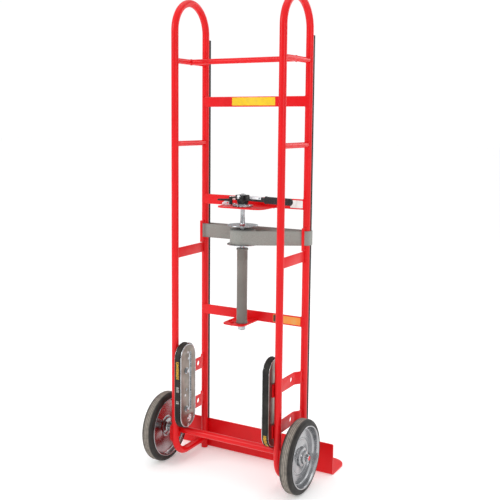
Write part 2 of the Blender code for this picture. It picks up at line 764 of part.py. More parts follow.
def strap_guide(name, s):
    # A bar that stands behind the front leg on two feet; the webbing runs between.
    middle = (s * FRAME_X, GUIDE_Y, (GUIDE_TOP + GUIDE_LOW) / 2)
    obj = box((GUIDE_WIDE, GUIDE_THICK, GUIDE_TOP - GUIDE_LOW), middle)
    reach = FRONT_Y - GUIDE_Y
    foot_size = (GUIDE_WIDE - 0.001, reach, 0.0039)
    for z in (GUIDE_LOW + 0.002, GUIDE_TOP - 0.002):
        join(obj, box(foot_size, (s * FRAME_X, GUIDE_Y + reach / 2, z)))
    return piece(cut(obj, CLEAR[s]), name + "_strap_guide", "red_enamel")


def strap_route():
    # Off the rear of the roll, round the right front leg, across the front, round the
    # left one, and back behind the spool to an end beside the right leg.
    axis = Vector((0, DRUM_Y))
    leg = Vector((FRAME_X, FRONT_Y))
    wound = ROLL_R + GAP + WEBBING_THICK / 2
    between = leg - axis
    heading = math.atan2(between.y, between.x) + math.asin((wound - WRAP_R) / between.length)
    leave = math.degrees(heading) - 90
    corner = (FRAME_X + WRAP_R - WRAP_CORNER_R, FRONT_Y + 0.0155)
    route = arc(axis, wound, leave - 70, leave, 8)
    route += arc(leg, WRAP_R, leave, 0, 5)
    route += arc(corner, WRAP_CORNER_R, 0, 90, 4)
    route += arc((-corner[0], corner[1]), WRAP_CORNER_R, 90, 180, 4)
    route += arc((-FRAME_X, FRONT_Y), WRAP_R, 180, 270, 6)
    route.append((FRAME_X - TUBE_R - 0.002, FRONT_Y - WRAP_R))
    return route


def strap_run():
    outline = strip_outline(strap_route(), WEBBING_THICK)
    obj = plate(outline, WEBBING_HIGH, (0, 0, WEBBING_Z))
    return piece(obj, "strap_run", "grey_webbing")


clear_scene()
TRUCK = collection("appliance_hand_truck")
TOOLS = collection("cutters")
CLEAR = {s: side_clearance(s) for s in SIDES.values()}

for side, sign in SIDES.items():
    side_frame(side, sign)
    round_rung(side, sign, TOP_RUNG_Z, "top")
    round_rung(side, sign, MIDDLE_RUNG_Z, "middle")
    flat_rung(side, sign)
    front_strip(side, sign)
    axle_bracket(side, sign)
    tyre(side, sign)
    wheel_disc(side, sign)
    axle_washer(side, sign)
    climber_cover(side, sign)
    climber_housing(side, sign)
    climber_belt(side, sign)
    climber_roller(side, sign, "upper", ROLLER_TOP_Z)
    climber_roller(side, sign, "lower", ROLLER_LOW_Z)
    for place in CLIMBER_BOLTS:
        climber_bolt(side, sign, place, CLIMBER_BOLTS[place])
        climber_bracket(side, sign, place, CLIMBER_BRACKETS[place])
    strap_guide(side, sign)

top_crossbar()
flat_bar("upper_flat_bar", UPPER_BAR_Z)
flat_bar("ratchet_bar", RATCHET_BAR_Z)
flat_bar("lower_flat_bar", LOWER_BAR_Z)
nose_plate()
axle_tube()
axle()
ratchet_plate()
drum()
strap_roll()
strap_run()
ratchet_gear()
ratchet_handle()
handle_grip()
drive_pawl()
holding_pawl()
lower_plate()
lower_nut()
recoil_tube()
recoil_spring()
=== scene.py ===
from math import asin, atan2, cos, degrees, dist, pi, radians, sin, sqrt

import bmesh
import bpy
from mathutils import Matrix, Vector


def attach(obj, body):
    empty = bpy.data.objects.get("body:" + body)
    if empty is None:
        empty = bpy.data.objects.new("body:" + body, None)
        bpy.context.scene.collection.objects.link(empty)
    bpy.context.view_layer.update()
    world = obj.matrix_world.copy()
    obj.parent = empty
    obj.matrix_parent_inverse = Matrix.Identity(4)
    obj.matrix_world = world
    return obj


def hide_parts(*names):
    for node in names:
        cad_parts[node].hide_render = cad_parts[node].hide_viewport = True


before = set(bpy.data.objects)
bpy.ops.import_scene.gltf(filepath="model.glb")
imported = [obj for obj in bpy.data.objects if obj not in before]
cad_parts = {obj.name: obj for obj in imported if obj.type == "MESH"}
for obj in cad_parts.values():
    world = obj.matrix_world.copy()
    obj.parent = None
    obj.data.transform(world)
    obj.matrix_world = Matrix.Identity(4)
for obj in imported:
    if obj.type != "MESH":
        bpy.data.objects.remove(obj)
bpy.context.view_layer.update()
scene = bpy.context.scene
sides = {"left": -1, "right": 1}

truck = {  # metres, the places that several pieces share
    "tubeRadius": 0.0127,
    "frameX": 0.2076,
    "rearY": -0.132,
    "midY": -0.0304,
    "frontY": 0.0712,
    "axleY": -0.096,
    "axleZ": 0.127,
    "wheelX": 0.2755,
    "bracketX": 0.2207,
    "climberY": -0.116,
    "drumY": -0.015,
    "handleTurn": radians(-12),
}
tubeRadius, frameX = truck["tubeRadius"], truck["frameX"]
wheelX, bracketX = truck["wheelX"], truck["bracketX"]
rearY, midY, frontY = truck["rearY"], truck["midY"], truck["frontY"]
axleY, axleZ, climberY, drumY = (truck[k] for k in ("axleY", "axleZ", "climberY", "drumY"))


# Camera, light and floor

studio = {
    "cameraAt": (1.402, -2.5447, 1.2556),
    "yaw": 30.402,
    "pitch": 7.035,
    "roll": 0.329,
    "lens": 59.455,
    "shift": (0.055, -0.0553),
    "sky": (0.34, 1.0),  # light from the horizon and from overhead
    "backdrop": 1.06,
    "floorGlow": 0.24,  # keeps the far floor as white as the backdrop
    "lamps": {  # place, target, size, watts
        "keyLamp": ((-2.6, -3.6, 3.0), (0, 0, 0.8), 2.0, 62),
        "fillLamp": ((3.4, -1.6, 1.7), (0, 0, 0.7), 1.4, 16),
        "topLamp": ((0.3, 0.4, 4.2), (0, 0, 0.6), 3.0, 20),
        "frontLamp": ((1.2, 3.8, 2.2), (0, 0, 0.7), 2.2, 22),
    },
}


def fromHex(text):  # an sRGB colour as shaders read it
    parts = [int(text[i : i + 2], 16) / 255 for i in (1, 3, 5)]
    lin = [c / 12.92 if c <= 0.04045 else ((c + 0.055) / 1.055) ** 2.4 for c in parts]
    return (*lin, 1)


def add(tree, kind, settings=(), links=()):
    # one node: its properties, the values of its sockets, and what feeds them
    made = tree.nodes.new(kind)
    for key, value in dict(settings).items():
        if isinstance(key, int) or key in made.inputs:
            made.inputs[key].default_value = value
        else:
            setattr(made, key, value)
    for key, source in dict(links).items():
        tree.links.new(source, made.inputs[key])
    return made


def setUpStudio():
    lens = bpy.data.cameras.new("camera")
    lens.lens = studio["lens"]
    lens.shift_x, lens.shift_y = studio["shift"]
    camera = bpy.data.objects.new("camera", lens)
    scene.collection.objects.link(camera)
    turn = Matrix.Rotation(radians(studio["yaw"]), 4, "Z")
    tilt = Matrix.Rotation(radians(90 - studio["pitch"]), 4, "X")
    roll = Matrix.Rotation(radians(studio["roll"]), 4, "Z")
    camera.matrix_world = Matrix.Translation(studio["cameraAt"]) @ turn @ tilt @ roll
    scene.camera = camera
    scene.view_settings.view_transform = "Standard"
    for name, (place, target, size, watts) in studio["lamps"].items():
        lamp = bpy.data.lights.new(name, "AREA")
        lamp.shape = "DISK"
        lamp.size = size
        lamp.energy = watts
        holder = bpy.data.objects.new(name, lamp)
        scene.collection.objects.link(holder)
        holder.location = place
        aim = Vector(target) - Vector(place)
        holder.rotation_euler = aim.to_track_quat("-Z", "Y").to_euler()
    world = bpy.data.worlds.new("studioAir")
    world.use_nodes = True
    air = world.node_tree  # a soft gradient lights the truck; the paper behind it is white
    sky = air.nodes["Background"]
    sky.inputs["Color"].default_value = fromHex("#fbfbfc")
    toward = add(air, "ShaderNodeTexCoord").outputs["Generated"]
    height = add(air, "ShaderNodeSeparateXYZ", {}, {0: toward}).outputs[2]
    low, high = studio["sky"]
    settings = {"From Min": -0.05, "From Max": 0.75, "To Min": low, "To Max": high}
    glow = add(air, "ShaderNodeMapRange", settings, {"Value": height}).outputs[0]
    seen = add(air, "ShaderNodeLightPath").outputs["Is Camera Ray"]
    choice = add(air, "ShaderNodeMix", {3: studio["backdrop"]}, {0: seen, 2: glow})
    air.links.new(choice.outputs[0], sky.inputs["Strength"])
    scene.world = world
    half = 40
    corners = [(-half, -half, 0), (half, -half, 0), (half, half, 0), (-half, half, 0)]
    mesh = bpy.data.meshes.new("floor")
    mesh.from_pydata(corners, [], [(0, 1, 2, 3)])
    floor = bpy.data.objects.new("floor", mesh)
    scene.collection.objects.link(floor)
    paper = bpy.data.materials.new("paleFloorPaper")
    paper.use_nodes = True
    shade = paper.node_tree.nodes["Principled BSDF"]
    shade.inputs["Base Color"].default_value = fromHex("#f4f4f3")
    shade.inputs["Roughness"].default_value = 0.9
    shade.inputs["Emission Color"].default_value = fromHex("#ffffff")
    shade.inputs["Emission Strength"].default_value = studio["floorGlow"]
    mesh.materials.append(paper)


setUpStudio()
print("studio ready")


# Materials. Object coordinates are in metres, so a noise scale of 400 has grains of 2.5 mm.


def newLook(name, settings):
    made = bpy.data.materials.new(name)
    made.use_nodes = True
    tree = made.node_tree
    shader = tree.nodes["Principled BSDF"]
    for key, value in settings.items():
        shader.inputs[key].default_value = value
    return made, tree, shader, add(tree, "ShaderNodeTexCoord").outputs["Object"]


def grain(tree, at, scale, detail=3.0, stretch=(1, 1, 1)):
    moved = add(tree, "ShaderNodeMapping", {"Scale": stretch}, {"Vector": at})
    settings = {"Scale": scale, "Detail": detail}
    return add(tree, "ShaderNodeTexNoise", settings, {"Vector": moved.outputs[0]}).outputs["Fac"]


def patches(tree, at, scale, detail, low, high, start=0.0, end=1.0, stretch=(1, 1, 1)):
    # the part of a grain between low and high, drawn out to run from start to end
    settings = {"From Min": low, "From Max": high, "To Min": start, "To Max": end}
    links = {"Value": grain(tree, at, scale, detail, stretch)}
    return add(tree, "ShaderNodeMapRange", settings, links).outputs[0]


def sums(tree, value, *steps):
    # steps worked out on a value one after another, with a number or another node's output
    for operation, other in steps:
        settings, links = {"operation": operation}, {0: value}
        if isinstance(other, float):
            settings[1] = other
        elif other:
            links[1] = other
        value = add(tree, "ShaderNodeMath", settings, links).outputs[0]
    return value


def painted(tree, shader, base, *layers):
    # colours over a base, each laid on by its own share
    colour = None
    for share, hue in layers:
        settings, links = {"data_type": "RGBA", 7: fromHex(hue)}, {0: share}
        if colour:
            links[6] = colour
        else:
            settings[6] = fromHex(base)
        colour = add(tree, "ShaderNodeMix", settings, links).outputs[2]
    tree.links.new(colour, shader.inputs["Base Color"])


def roughened(tree, shader, value, low, high, start, end):
    # roughness from start to end as the pattern goes from low to high
    settings = {"From Min": low, "From Max": high, "To Min": start, "To Max": end}
    made = add(tree, "ShaderNodeMapRange", settings, {"Value": value})
    tree.links.new(made.outputs[0], shader.inputs["Roughness"])


def bumped(tree, shader, height, deep, strength=1.0):
    # relief, laid over any that is there already
    links = {"Height": height}
    normal = shader.inputs["Normal"]
    if normal.links:
        links["Normal"] = normal.links[0].from_socket
    made = add(tree, "ShaderNodeBump", {"Distance": deep, "Strength": strength}, links)
    tree.links.new(made.outputs[0], normal)


def fromAxle(tree, at):
    # distance from the axle's line
    home = {"Location": (0, -axleY, -axleZ)}
    moved = add(tree, "ShaderNodeMapping", home, {"Vector": at})
    flat = {"operation": "MULTIPLY", 1: (0, 1, 1)}
    across = add(tree, "ShaderNodeVectorMath", flat, {0: moved.outputs[0]})
    length = {"operation": "LENGTH"}
    return add(tree, "ShaderNodeVectorMath", length, {0: across.outputs[0]}).outputs["Value"]


def bakedEnamel(name, bright, deep, chip):
    # Sprayed and baked over steel: a glossy skin with orange peel about 3 mm across,
    # duller where it has been handled, with pinhead chips that show the primer.
    settings = {"IOR": 1.5, "Specular IOR Level": 0.28, "Coat Weight": 0.05, "Coat Roughness": 0.15}
    made, tree, shader, at = newLook(name, settings)
    specks = patches(tree, at, 310, 2, 0.765, 0.78)
    painted(tree, shader, bright, (patches(tree, at, 9, 4, 0.35, 0.65), deep), (specks, chip))
    roughened(tree, shader, grain(tree, at, 34, 5), 0.42, 0.66, 0.30, 0.38)
    bumped(tree, shader, grain(tree, at, 330, 1), 0.00012, 0.22)
    bumped(tree, shader, specks, 0.0002, 0.5)
    return made


def zincPlate(name, bright, dull, rough):
    # Electroplated steel: cool and bright, with cloudy passivation and fine scratches.
    made, tree, shader, at = newLook(name, {"Metallic": 1.0})
    scratch = grain(tree, at, 90, 6, (1, 1, 14))
    painted(tree, shader, bright, (patches(tree, at, 60, 5, 0.36, 0.64), dull))
    roughened(tree, shader, scratch, 0.35, 0.68, *rough)
    bumped(tree, shader, scratch, 0.00005, 0.3)
    bumped(tree, shader, grain(tree, at, 700, 2), 0.00003, 0.3)
    return made


def spunAluminium():
    # A dished disc turned on a lathe: concentric tool marks about 1 mm apart, drawn twice
    # as coarse as they are, over a bright body with faint smears.
    made, tree, shader, at = newLook("spunAluminium", {"Metallic": 1.0})
    settings = {"noise_dimensions": "1D", "Scale": 520, "Detail": 4}
    rings = add(tree, "ShaderNodeTexNoise", settings, {"W": fromAxle(tree, at)}).outputs["Fac"]
    painted(tree, shader, "#b3b4b6", (patches(tree, at, 26, 3, 0.38, 0.66), "#a2a3a5"))
    roughened(tree, shader, rings, 0.3, 0.7, 0.13, 0.24)
    bumped(tree, shader, rings, 0.0001, 0.3)
    return made


def satinCover():
    # Rolled steel sheet with a dull zinc wash: a warm grey, drawn lengthways by the mill.
    made, tree, shader, at = newLook("satinZincSheet", {"Metallic": 1.0})
    drawn = grain(tree, at, 420, 4, (1, 1, 0.045))
    painted(tree, shader, "#9c938b", (patches(tree, at, 30, 4, 0.36, 0.66), "#857c74"))
    roughened(tree, shader, drawn, 0.3, 0.7, 0.30, 0.46)
    bumped(tree, shader, drawn, 0.00012, 0.4)
    return made


def tyreRubber():
    # Moulded solid rubber: black walls, and a tread that floor dust has turned grey; the grey
    # fades in bands 6 mm apart, darkest over the grooves.
    made, tree, shader, at = newLook("mouldedTyreRubber", {"IOR": 1.52, "Specular IOR Level": 0.25})
    across = add(tree, "ShaderNodeSeparateXYZ", {}, {0: at}).outputs[0]
    away = sums(tree, across, ("ABSOLUTE", None), ("SUBTRACT", wheelX), ("ABSOLUTE", None))
    rim = {"From Min": 0.1255, "From Max": 0.1266}
    onTread = add(tree, "ShaderNodeMapRange", rim, {"Value": fromAxle(tree, at)}).outputs[0]
    edge = {"From Min": 0.0104, "From Max": 0.0124, "To Min": 1, "To Max": 0}
    inside = add(tree, "ShaderNodeMapRange", edge, {"Value": away}).outputs[0]
    wave = sums(tree, away, ("MULTIPLY", 2 * pi / 0.0062), ("COSINE", None))
    bands = {"From Min": -0.6, "From Max": 0.8, "To Min": 0.45, "To Max": 1.0}
    stripe = add(tree, "ShaderNodeMapRange", bands, {"Value": wave}).outputs[0]
    striped = sums(tree, patches(tree, at, 70, 5, 0.30, 0.60, 0.55, 1.0), ("MULTIPLY", stripe))
    share = sums(tree, onTread, ("MULTIPLY", inside), ("MULTIPLY", striped))
    wall = (patches(tree, at, 45, 4, 0.35, 0.7), "#34312e")
    painted(tree, shader, "#232120", wall, (share, "#a39b91"))
    roughened(tree, shader, share, 0, 1, 0.52, 0.92)
    bumped(tree, shader, grain(tree, at, 600, 3), 0.0003, 0.5)
    return made


def blackRubber(name, shade, worn, stretch):
    # Extruded rubber: matt black with faint draw lines and a grey bloom.
    made, tree, shader, at = newLook(name, {"IOR": 1.52, "Specular IOR Level": 0.25})
    lines = grain(tree, at, 260, 4, stretch)
    painted(tree, shader, shade, (patches(tree, at, 22, 5, 0.42, 0.75), worn))
    roughened(tree, shader, lines, 0.3, 0.7, 0.48, 0.68)
    bumped(tree, shader, lines, 0.0003, 0.4)
    return made


def blackOxide():
    # Chemically blackened steel, oiled: nearly black, a little shine, browner where rubbed.
    made, tree, shader, at = newLook("blackOxideSteel", {"Metallic": 0.85})
    painted(tree, shader, "#2a2a2c", (patches(tree, at, 85, 5, 0.45, 0.75), "#4a4644"))
    roughened(tree, shader, grain(tree, at, 240, 4), 0.3, 0.7, 0.26, 0.44)
    bumped(tree, shader, grain(tree, at, 900, 3), 0.0001, 0.5)
    return made


def gripVinyl():
    # Dipped vinyl: soft black with a fine leathery skin.
    made, tree, shader, at = newLook("dippedGripVinyl", {"IOR": 1.53, "Specular IOR Level": 0.3})
    cells = add(tree, "ShaderNodeTexVoronoi", {"Scale": 620}, {"Vector": at}).outputs["Distance"]
    painted(tree, shader, "#1b1b1d", (patches(tree, at, 70, 4, 0.4, 0.7), "#2b2b2c"))
    roughened(tree, shader, cells, 0, 0.6, 0.34, 0.5)
    bumped(tree, shader, cells, 0.0002, 0.3)
    return made


def wovenWebbing():
    # Two-inch polyester webbing: ribs along the strap crossed by the weft. Real ribs are
    # 1.2 mm apart; they are drawn at 2.4 mm so that they show. Its UV map is in metres.
    settings = {"Sheen Weight": 0.25, "Sheen Roughness": 0.5, "IOR": 1.5}
    made, tree, shader, _ = newLook("wovenPolyesterWebbing", settings)
    cloth = add(tree, "ShaderNodeUVMap", {"uv_map": "cloth"}).outputs[0]
    along, aside = add(tree, "ShaderNodeSeparateXYZ", {}, {0: cloth}).outputs[:2]
    weft = sums(tree, along, ("MULTIPLY", 2 * pi / 0.0032), ("SINE", None))
    ribs = sums(tree, aside, ("MULTIPLY", 2 * pi / 0.0024), ("SINE", None), ("MULTIPLY", weft))
    full = {"From Min": -1, "From Max": 1}
    weave = add(tree, "ShaderNodeMapRange", full, {"Value": ribs}).outputs[0]
    hem = {"From Min": 0.0226, "From Max": 0.0232}
    fromMiddle = sums(tree, aside, ("ABSOLUTE", None))
    selvedge = add(tree, "ShaderNodeMapRange", hem, {"Value": fromMiddle}).outputs[0]
    fuzz = patches(tree, cloth, 160, 5, 0.3, 0.7, stretch=(1, 3, 1))
    crossed = (sums(tree, weave, ("MULTIPLY", 0.30)), "#6d6e69")
    edges = (sums(tree, selvedge, ("MULTIPLY", 0.35)), "#6f706c")
    painted(tree, shader, "#a3a49e", (fuzz, "#8d8e88"), crossed, edges)
    roughened(tree, shader, fuzz, 0, 1, 0.72, 0.9)
    bumped(tree, shader, weave, 0.0003, 0.5)
    return made


def stickerVinyl(name, face, faded):
    # Printed vinyl under a clear film: flat colour, a little gloss, faded in patches.
    made, tree, shader, at = newLook(name, {"IOR": 1.48, "Coat Weight": 0.25})
    fade = patches(tree, at, 55, 4, 0.4, 0.72)
    painted(tree, shader, face, (fade, faded))
    roughened(tree, shader, fade, 0, 1, 0.3, 0.42)
    bumped(tree, shader, grain(tree, at, 260, 2), 0.0001, 0.3)
    return made


def beltPrint(name, ink):
    # Ink pressed into black rubber: it breaks up into short bars over the ribs.
    made, tree, shader, at = newLook(name, {"IOR": 1.5})
    breaks = patches(tree, at, 210, 3, 0.47, 0.53, stretch=(1.6, 1, 1))
    share = patches(tree, at, 80, 4, 0.3, 0.7, 0.55, 1.0)
    painted(tree, shader, ink, (sums(tree, breaks, ("MULTIPLY", share)), "#2b2925"))
    roughened(tree, shader, share, 0, 1, 0.5, 0.62)
    bumped(tree, shader, breaks, 0.0001, 0.4)
    return made


looks = {
    "redEnamel": bakedEnamel("bakedRedEnamel", "#e60913", "#dd0811", "#8c1513"),
    "greyEnamel": bakedEnamel("bakedGreyEnamel", "#7d7973", "#706c66", "#4c4a47"),
    "zinc": zincPlate("brightZincPlate", "#c3c8cb", "#a0a5a8", (0.16, 0.34)),
    "polished": zincPlate("polishedSteel", "#cfd2d4", "#b4b7ba", (0.10, 0.22)),
    "aluminium": spunAluminium(),
    "bright": zincPlate("brightGalvanised", "#f4f6f8", "#e2e6ea", (0.42, 0.55)),
    "cover": satinCover(),
    "tyre": tyreRubber(),
    "strip": blackRubber("extrudedStripRubber", "#0c0c0c", "#191918", (1, 1, 0.05)),
    "belt": blackRubber("mouldedBeltRubber", "#1c1b1a", "#37342f", (0.2, 1, 1)),
    "oxide": blackOxide(),
    "grip": gripVinyl(),
    "webbing": wovenWebbing(),
    "yellowSticker": stickerVinyl("yellowStickerVinyl", "#f5d216", "#e8c422"),
    "orangeSticker": stickerVinyl("orangeStickerVinyl", "#f0912b", "#e3a14e"),
    "whiteSticker": stickerVinyl("whiteStickerVinyl", "#eeedea", "#dcdad6"),
    "darkSticker": stickerVinyl("darkStickerVinyl", "#3a2417", "#4a3223"),
    "yellowInk": beltPrint("yellowBeltInk", "#d9a615"),
    "whiteInk": beltPrint("whiteBeltInk", "#a9aaa5"),
}
print("materials ready:", len(looks))


# Making shapes

facing = {  # how a flat shape drawn in (x, y) and pulled along z stands in the truck
    "X": Matrix(((0, 0, 1, 0), (1, 0, 0, 0), (0, 1, 0, 0), (0, 0, 0, 1))),
    "Y": Matrix(((1, 0, 0, 0), (0, 0, -1, 0), (0, 1, 0, 0), (0, 0, 0, 1))),
    "Z": Matrix.Identity(4),
}
handlePlace = Matrix.Translation((0, drumY, 0)) @ Matrix.Rotation(truck["handleTurn"], 4, "Z")


def newObject(name, mesh):
    made = bpy.data.objects.new(name, mesh)
    scene.collection.objects.link(made)
    return made


def tidyMesh(mesh, near=0.000002):
    shell = bmesh.new()
    shell.from_mesh(mesh)
    bmesh.ops.remove_doubles(shell, verts=shell.verts, dist=near)
    bmesh.ops.recalc_face_normals(shell, faces=shell.faces)
    shell.to_mesh(mesh)
    shell.free()


def bakeShape(obj):
    # modifiers turned into plain mesh
    graph = bpy.context.evaluated_depsgraph_get()
    mesh = bpy.data.meshes.new_from_object(obj.evaluated_get(graph))
    obj.modifiers.clear()
    obj.data = mesh
    mesh.name = obj.name
    return obj


def fromFaces(name, points, faces):
    mesh = bpy.data.meshes.new(name)
    mesh.from_pydata([tuple(p) for p in points], [], faces)
    tidyMesh(mesh)
    return newObject(name, mesh)


def loft(name, rings, loop=False):
    # rings with equal counts joined in order; open ends are closed by a face
    count, total = len(rings[0]), len(rings)
    faces = []
    for i in range(total if loop else total - 1):
        here, there = i * count, (i + 1) % total * count
        for j in range(count):
            k = (j + 1) % count
            faces.append((here + j, here + k, there + k, there + j))
    if not loop:
        faces.append(tuple(reversed(range(count))))
        faces.append(tuple((total - 1) * count + j for j in range(count)))
    return fromFaces(name, [p for ring in rings for p in ring], faces)


def lathe(name, profile, centre, along, steps=72):
    # a profile of (radius, distance along) turned about an axis
    along = Vector(along)
    u = Vector((0, 1, 0)) if abs(along.x) > 0.5 else Vector((1, 0, 0))
    v = along.cross(u)
    rings = []
    for i in range(steps):
        a = 2 * pi * i / steps
        out = u * cos(a) + v * sin(a)
        rings.append([Vector(centre) + out * r + along * h for r, h in profile])
    count = len(profile)
    faces = []
    for i in range(steps):
        here, there = i * count, (i + 1) % steps * count
        for j in range(count):
            k = (j + 1) % count
            if profile[j][0] > 0 or profile[k][0] > 0:
                faces.append((here + j, here + k, there + k, there + j))
    return fromFaces(name, [p for ring in rings for p in ring], faces)


def plateFrom(name, outlines, thick, at, way="Z", rim=0.0006, spin=None):
    # a flat sheet with holes and rounded rims: the first outline is the outside
    data = bpy.data.curves.new(name, "CURVE")
    data.dimensions = "2D"
    data.fill_mode = "BOTH"
    data.bevel_depth = rim
    data.bevel_resolution = 1
    data.offset = -rim
    data.extrude = thick / 2 - rim
    for outline in outlines:
        spline = data.splines.new("POLY")
        spline.points.add(len(outline) - 1)
        for target, (x, y) in zip(spline.points, outline):
            target.co = (x, y, 0, 1)
        spline.use_cyclic_u = True
    made = newObject(name, data)
    graph = bpy.context.evaluated_depsgraph_get()
    mesh = bpy.data.meshes.new_from_object(made.evaluated_get(graph))
    bpy.data.objects.remove(made)
    bpy.data.curves.remove(data)
    mesh.transform((spin or Matrix.Identity(4)) @ Matrix.Translation(at) @ facing[way])
    tidyMesh(mesh, 0.00001)
    return newObject(name, mesh)


def arc(centre, radius, start, end, steps):
    turns = [radians(start + (end - start) * i / steps) for i in range(steps + 1)]
    x, y = centre
    return [(x + radius * cos(a), y + radius * sin(a)) for a in turns]


def rounded(low, high, radii, steps=8):
    # a rectangle; radii for right-top, left-top, left-bottom and right-bottom
    points = []
    for (across, up, start), r in zip(((1, 1, 0), (-1, 1, 90), (-1, -1, 180), (1, -1, 270)), radii):
        x = (high[0] if across > 0 else low[0]) - across * r
        y = (high[1] if up > 0 else low[1]) - up * r
        points += arc((x, y), r, start, start + 90, steps) if r else [(x, y)]
    return points


def stadium(half, low, high, steps=20, y=0.0):
    top = arc((y, high - half), half, 0, 180, steps)
    return top + arc((y, low + half), half, 180, 360, steps)


def cutAway(obj, *tools):
    for tool in tools:
        step = obj.modifiers.new("cut", "BOOLEAN")
        step.object = tool
        step.operation = "DIFFERENCE"
    bakeShape(obj)
    for tool in tools:
        bpy.data.objects.remove(tool)
    return obj


slots = {  # the record's material for each look; stickers have none
    "redEnamel": "red_enamel",
    "greyEnamel": "grey_enamel",
    "aluminium": "polished_aluminium",
    "tyre": "tyre_rubber",
    "oxide": "black_steel",
    "grip": "grip_vinyl",
    "webbing": "grey_webbing",
    **dict.fromkeys(("zinc", "polished", "bright", "cover"), "zinc_plate"),
    **dict.fromkeys(("strip", "belt", "yellowInk", "whiteInk"), "black_rubber"),
}


def fit(obj, look, *nodes, body="frame", slot=None, edge=0.0, angle=32):
    # finish, smooth shading, soft edges, and what the piece stands for
    obj.data.materials.clear()
    obj.data.materials.append(looks[look])
    obj.data.shade_smooth()
    obj.data.set_sharp_from_angle(angle=radians(angle))
    if edge:
        step = obj.modifiers.new("softEdge", "BEVEL")
        step.width = edge
        step.segments = 2
        step.limit_method = "ANGLE"
        step.angle_limit = radians(40)
        step.harden_normals = True
    if nodes:
        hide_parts(*nodes)
    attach(obj, body)
    return obj


def keepNode(node, look):
    # a CAD piece whose shape is already right, with a better finish
    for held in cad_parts[node].material_slots:
        held.material = looks[look]


# Geometry Nodes


def newTree(name, inputs):
    tree = bpy.data.node_groups.new(name, "GeometryNodeTree")
    sockets = tree.interface
    sockets.new_socket("Geometry", in_out="INPUT", socket_type="NodeSocketGeometry")
    for label, kind, value in (*inputs, ("Finish", "Material", None)):
        made = sockets.new_socket(label, in_out="INPUT", socket_type="NodeSocket" + kind)
        if value is not None:
            made.default_value = value
    sockets.new_socket("Geometry", in_out="OUTPUT", socket_type="NodeSocketGeometry")
    return tree, add(tree, "NodeGroupInput").outputs


def endTree(tree, geometry, finish):
    real = add(tree, "GeometryNodeRealizeInstances", {}, {0: geometry})
    links = {"Geometry": real.outputs[0], "Material": finish}
    done = add(tree, "GeometryNodeSetMaterial", {}, links)
    add(tree, "NodeGroupOutput", {}, {0: done.outputs[0]})


def grow(name, kind, lines, look, values):
    # lines are runs of points; a run of one point is a place for a single copy
    tree = trees[kind]
    points, edges = [], []
    for line in lines:
        start = len(points)
        points += [tuple(p) for p in line]
        edges += [(start + i, start + i + 1) for i in range(len(line) - 1)]
    mesh = bpy.data.meshes.new(name)
    mesh.from_pydata(points, edges, [])
    obj = newObject(name, mesh)
    step = obj.modifiers.new("grow", "NODES")
    step.node_group = tree
    named = {s.name: s.identifier for s in tree.interface.items_tree if s.in_out == "INPUT"}
    for label, value in {**values, "Finish": looks[look]}.items():
        step[named[label]] = value
    return bakeShape(obj)


def copies(tree, given, points, piece, axis, way, scale=None):
    # one copy of a piece on each point, its axis turned the way given, then the output
    turn = add(tree, "FunctionNodeAlignRotationToVector", {"axis": axis}, {"Vector": way})
    links = {"Points": points, "Instance": piece, "Rotation": turn.outputs[0]}
    if scale:
        links["Scale"] = scale
    endTree(tree, add(tree, "GeometryNodeInstanceOnPoints", {}, links).outputs[0], given["Finish"])
    return tree


def spaced(tree, given, label):
    # points along each run, and the way the run goes there
    path = add(tree, "GeometryNodeMeshToCurve", {}, {0: given["Geometry"]}).outputs[0]
    links = {"Curve": path, "Length": given[label]}
    points = add(tree, "GeometryNodeResampleCurve", {"mode": "LENGTH"}, links).outputs[0]
    return points, add(tree, "GeometryNodeInputTangent").outputs[0]


def joined(tree, *parts):
    whole = add(tree, "GeometryNodeJoinGeometry")
    for part in parts:
        tree.links.new(part.outputs[0], whole.inputs[0])
    return whole.outputs[0]


def tubeTree():
    # round tube along a run of points
    tree, given = newTree("bentTube", [("Radius", "Float", 0.0127), ("Sides", "Int", 40)])
    path = add(tree, "GeometryNodeMeshToCurve", {}, {0: given["Geometry"]})
    links = {"Resolution": given["Sides"], "Radius": given["Radius"]}
    rim = add(tree, "GeometryNodeCurvePrimitiveCircle", {}, links)
    links = {"Curve": path.outputs[0], "Profile Curve": rim.outputs[0]}
    skin = add(tree, "GeometryNodeCurveToMesh", {"Fill Caps": True}, links)
    endTree(tree, skin.outputs[0], given["Finish"])
    return tree


def weldTree():
    # the overlapping ripples of a weld, laid along a seam
    inputs = [("Bead", "Float", 0.0022), ("Step", "Float", 0.0022), ("Seed", "Int", 7)]
    tree, given = newTree("weldBead", inputs)
    points, way = spaced(tree, given, "Step")
    ball = {"Segments": 10, "Rings": 6}
    drop = add(tree, "GeometryNodeMeshUVSphere", ball, {"Radius": given["Bead"]})
    size = {"data_type": "FLOAT_VECTOR", 0: (0.62, 0.82, 0.82), 1: (0.8, 1.12, 1.12)}
    varied = add(tree, "FunctionNodeRandomValue", size, {"Seed": given["Seed"]})
    return copies(tree, given, points, drop.outputs[0], "X", way, varied.outputs[0])


def rivetTree():
    # a low dome with a flat flange on each point
    inputs = [("Radius", "Float", 0.003), ("Dome", "Float", 0.5), ("Facing", "Vector", (0, 0, 1))]
    tree, given = newTree("rivetHeads", inputs)
    ball = add(tree, "GeometryNodeMeshUVSphere", {"Segments": 20, "Rings": 12, "Radius": 1.0})
    size = add(tree, "ShaderNodeCombineXYZ", {0: 1, 1: 1}, {2: given["Dome"]})
    dome = add(tree, "GeometryNodeTransform", {}, {0: ball.outputs[0], "Scale": size.outputs[0]})
    flange = add(tree, "GeometryNodeMeshCylinder", {"Vertices": 20, "Radius": 1.18, "Depth": 0.24})
    whole, points, way = joined(tree, dome, flange), given["Geometry"], given["Facing"]
    return copies(tree, given, points, whole, "Z", way, given["Radius"])


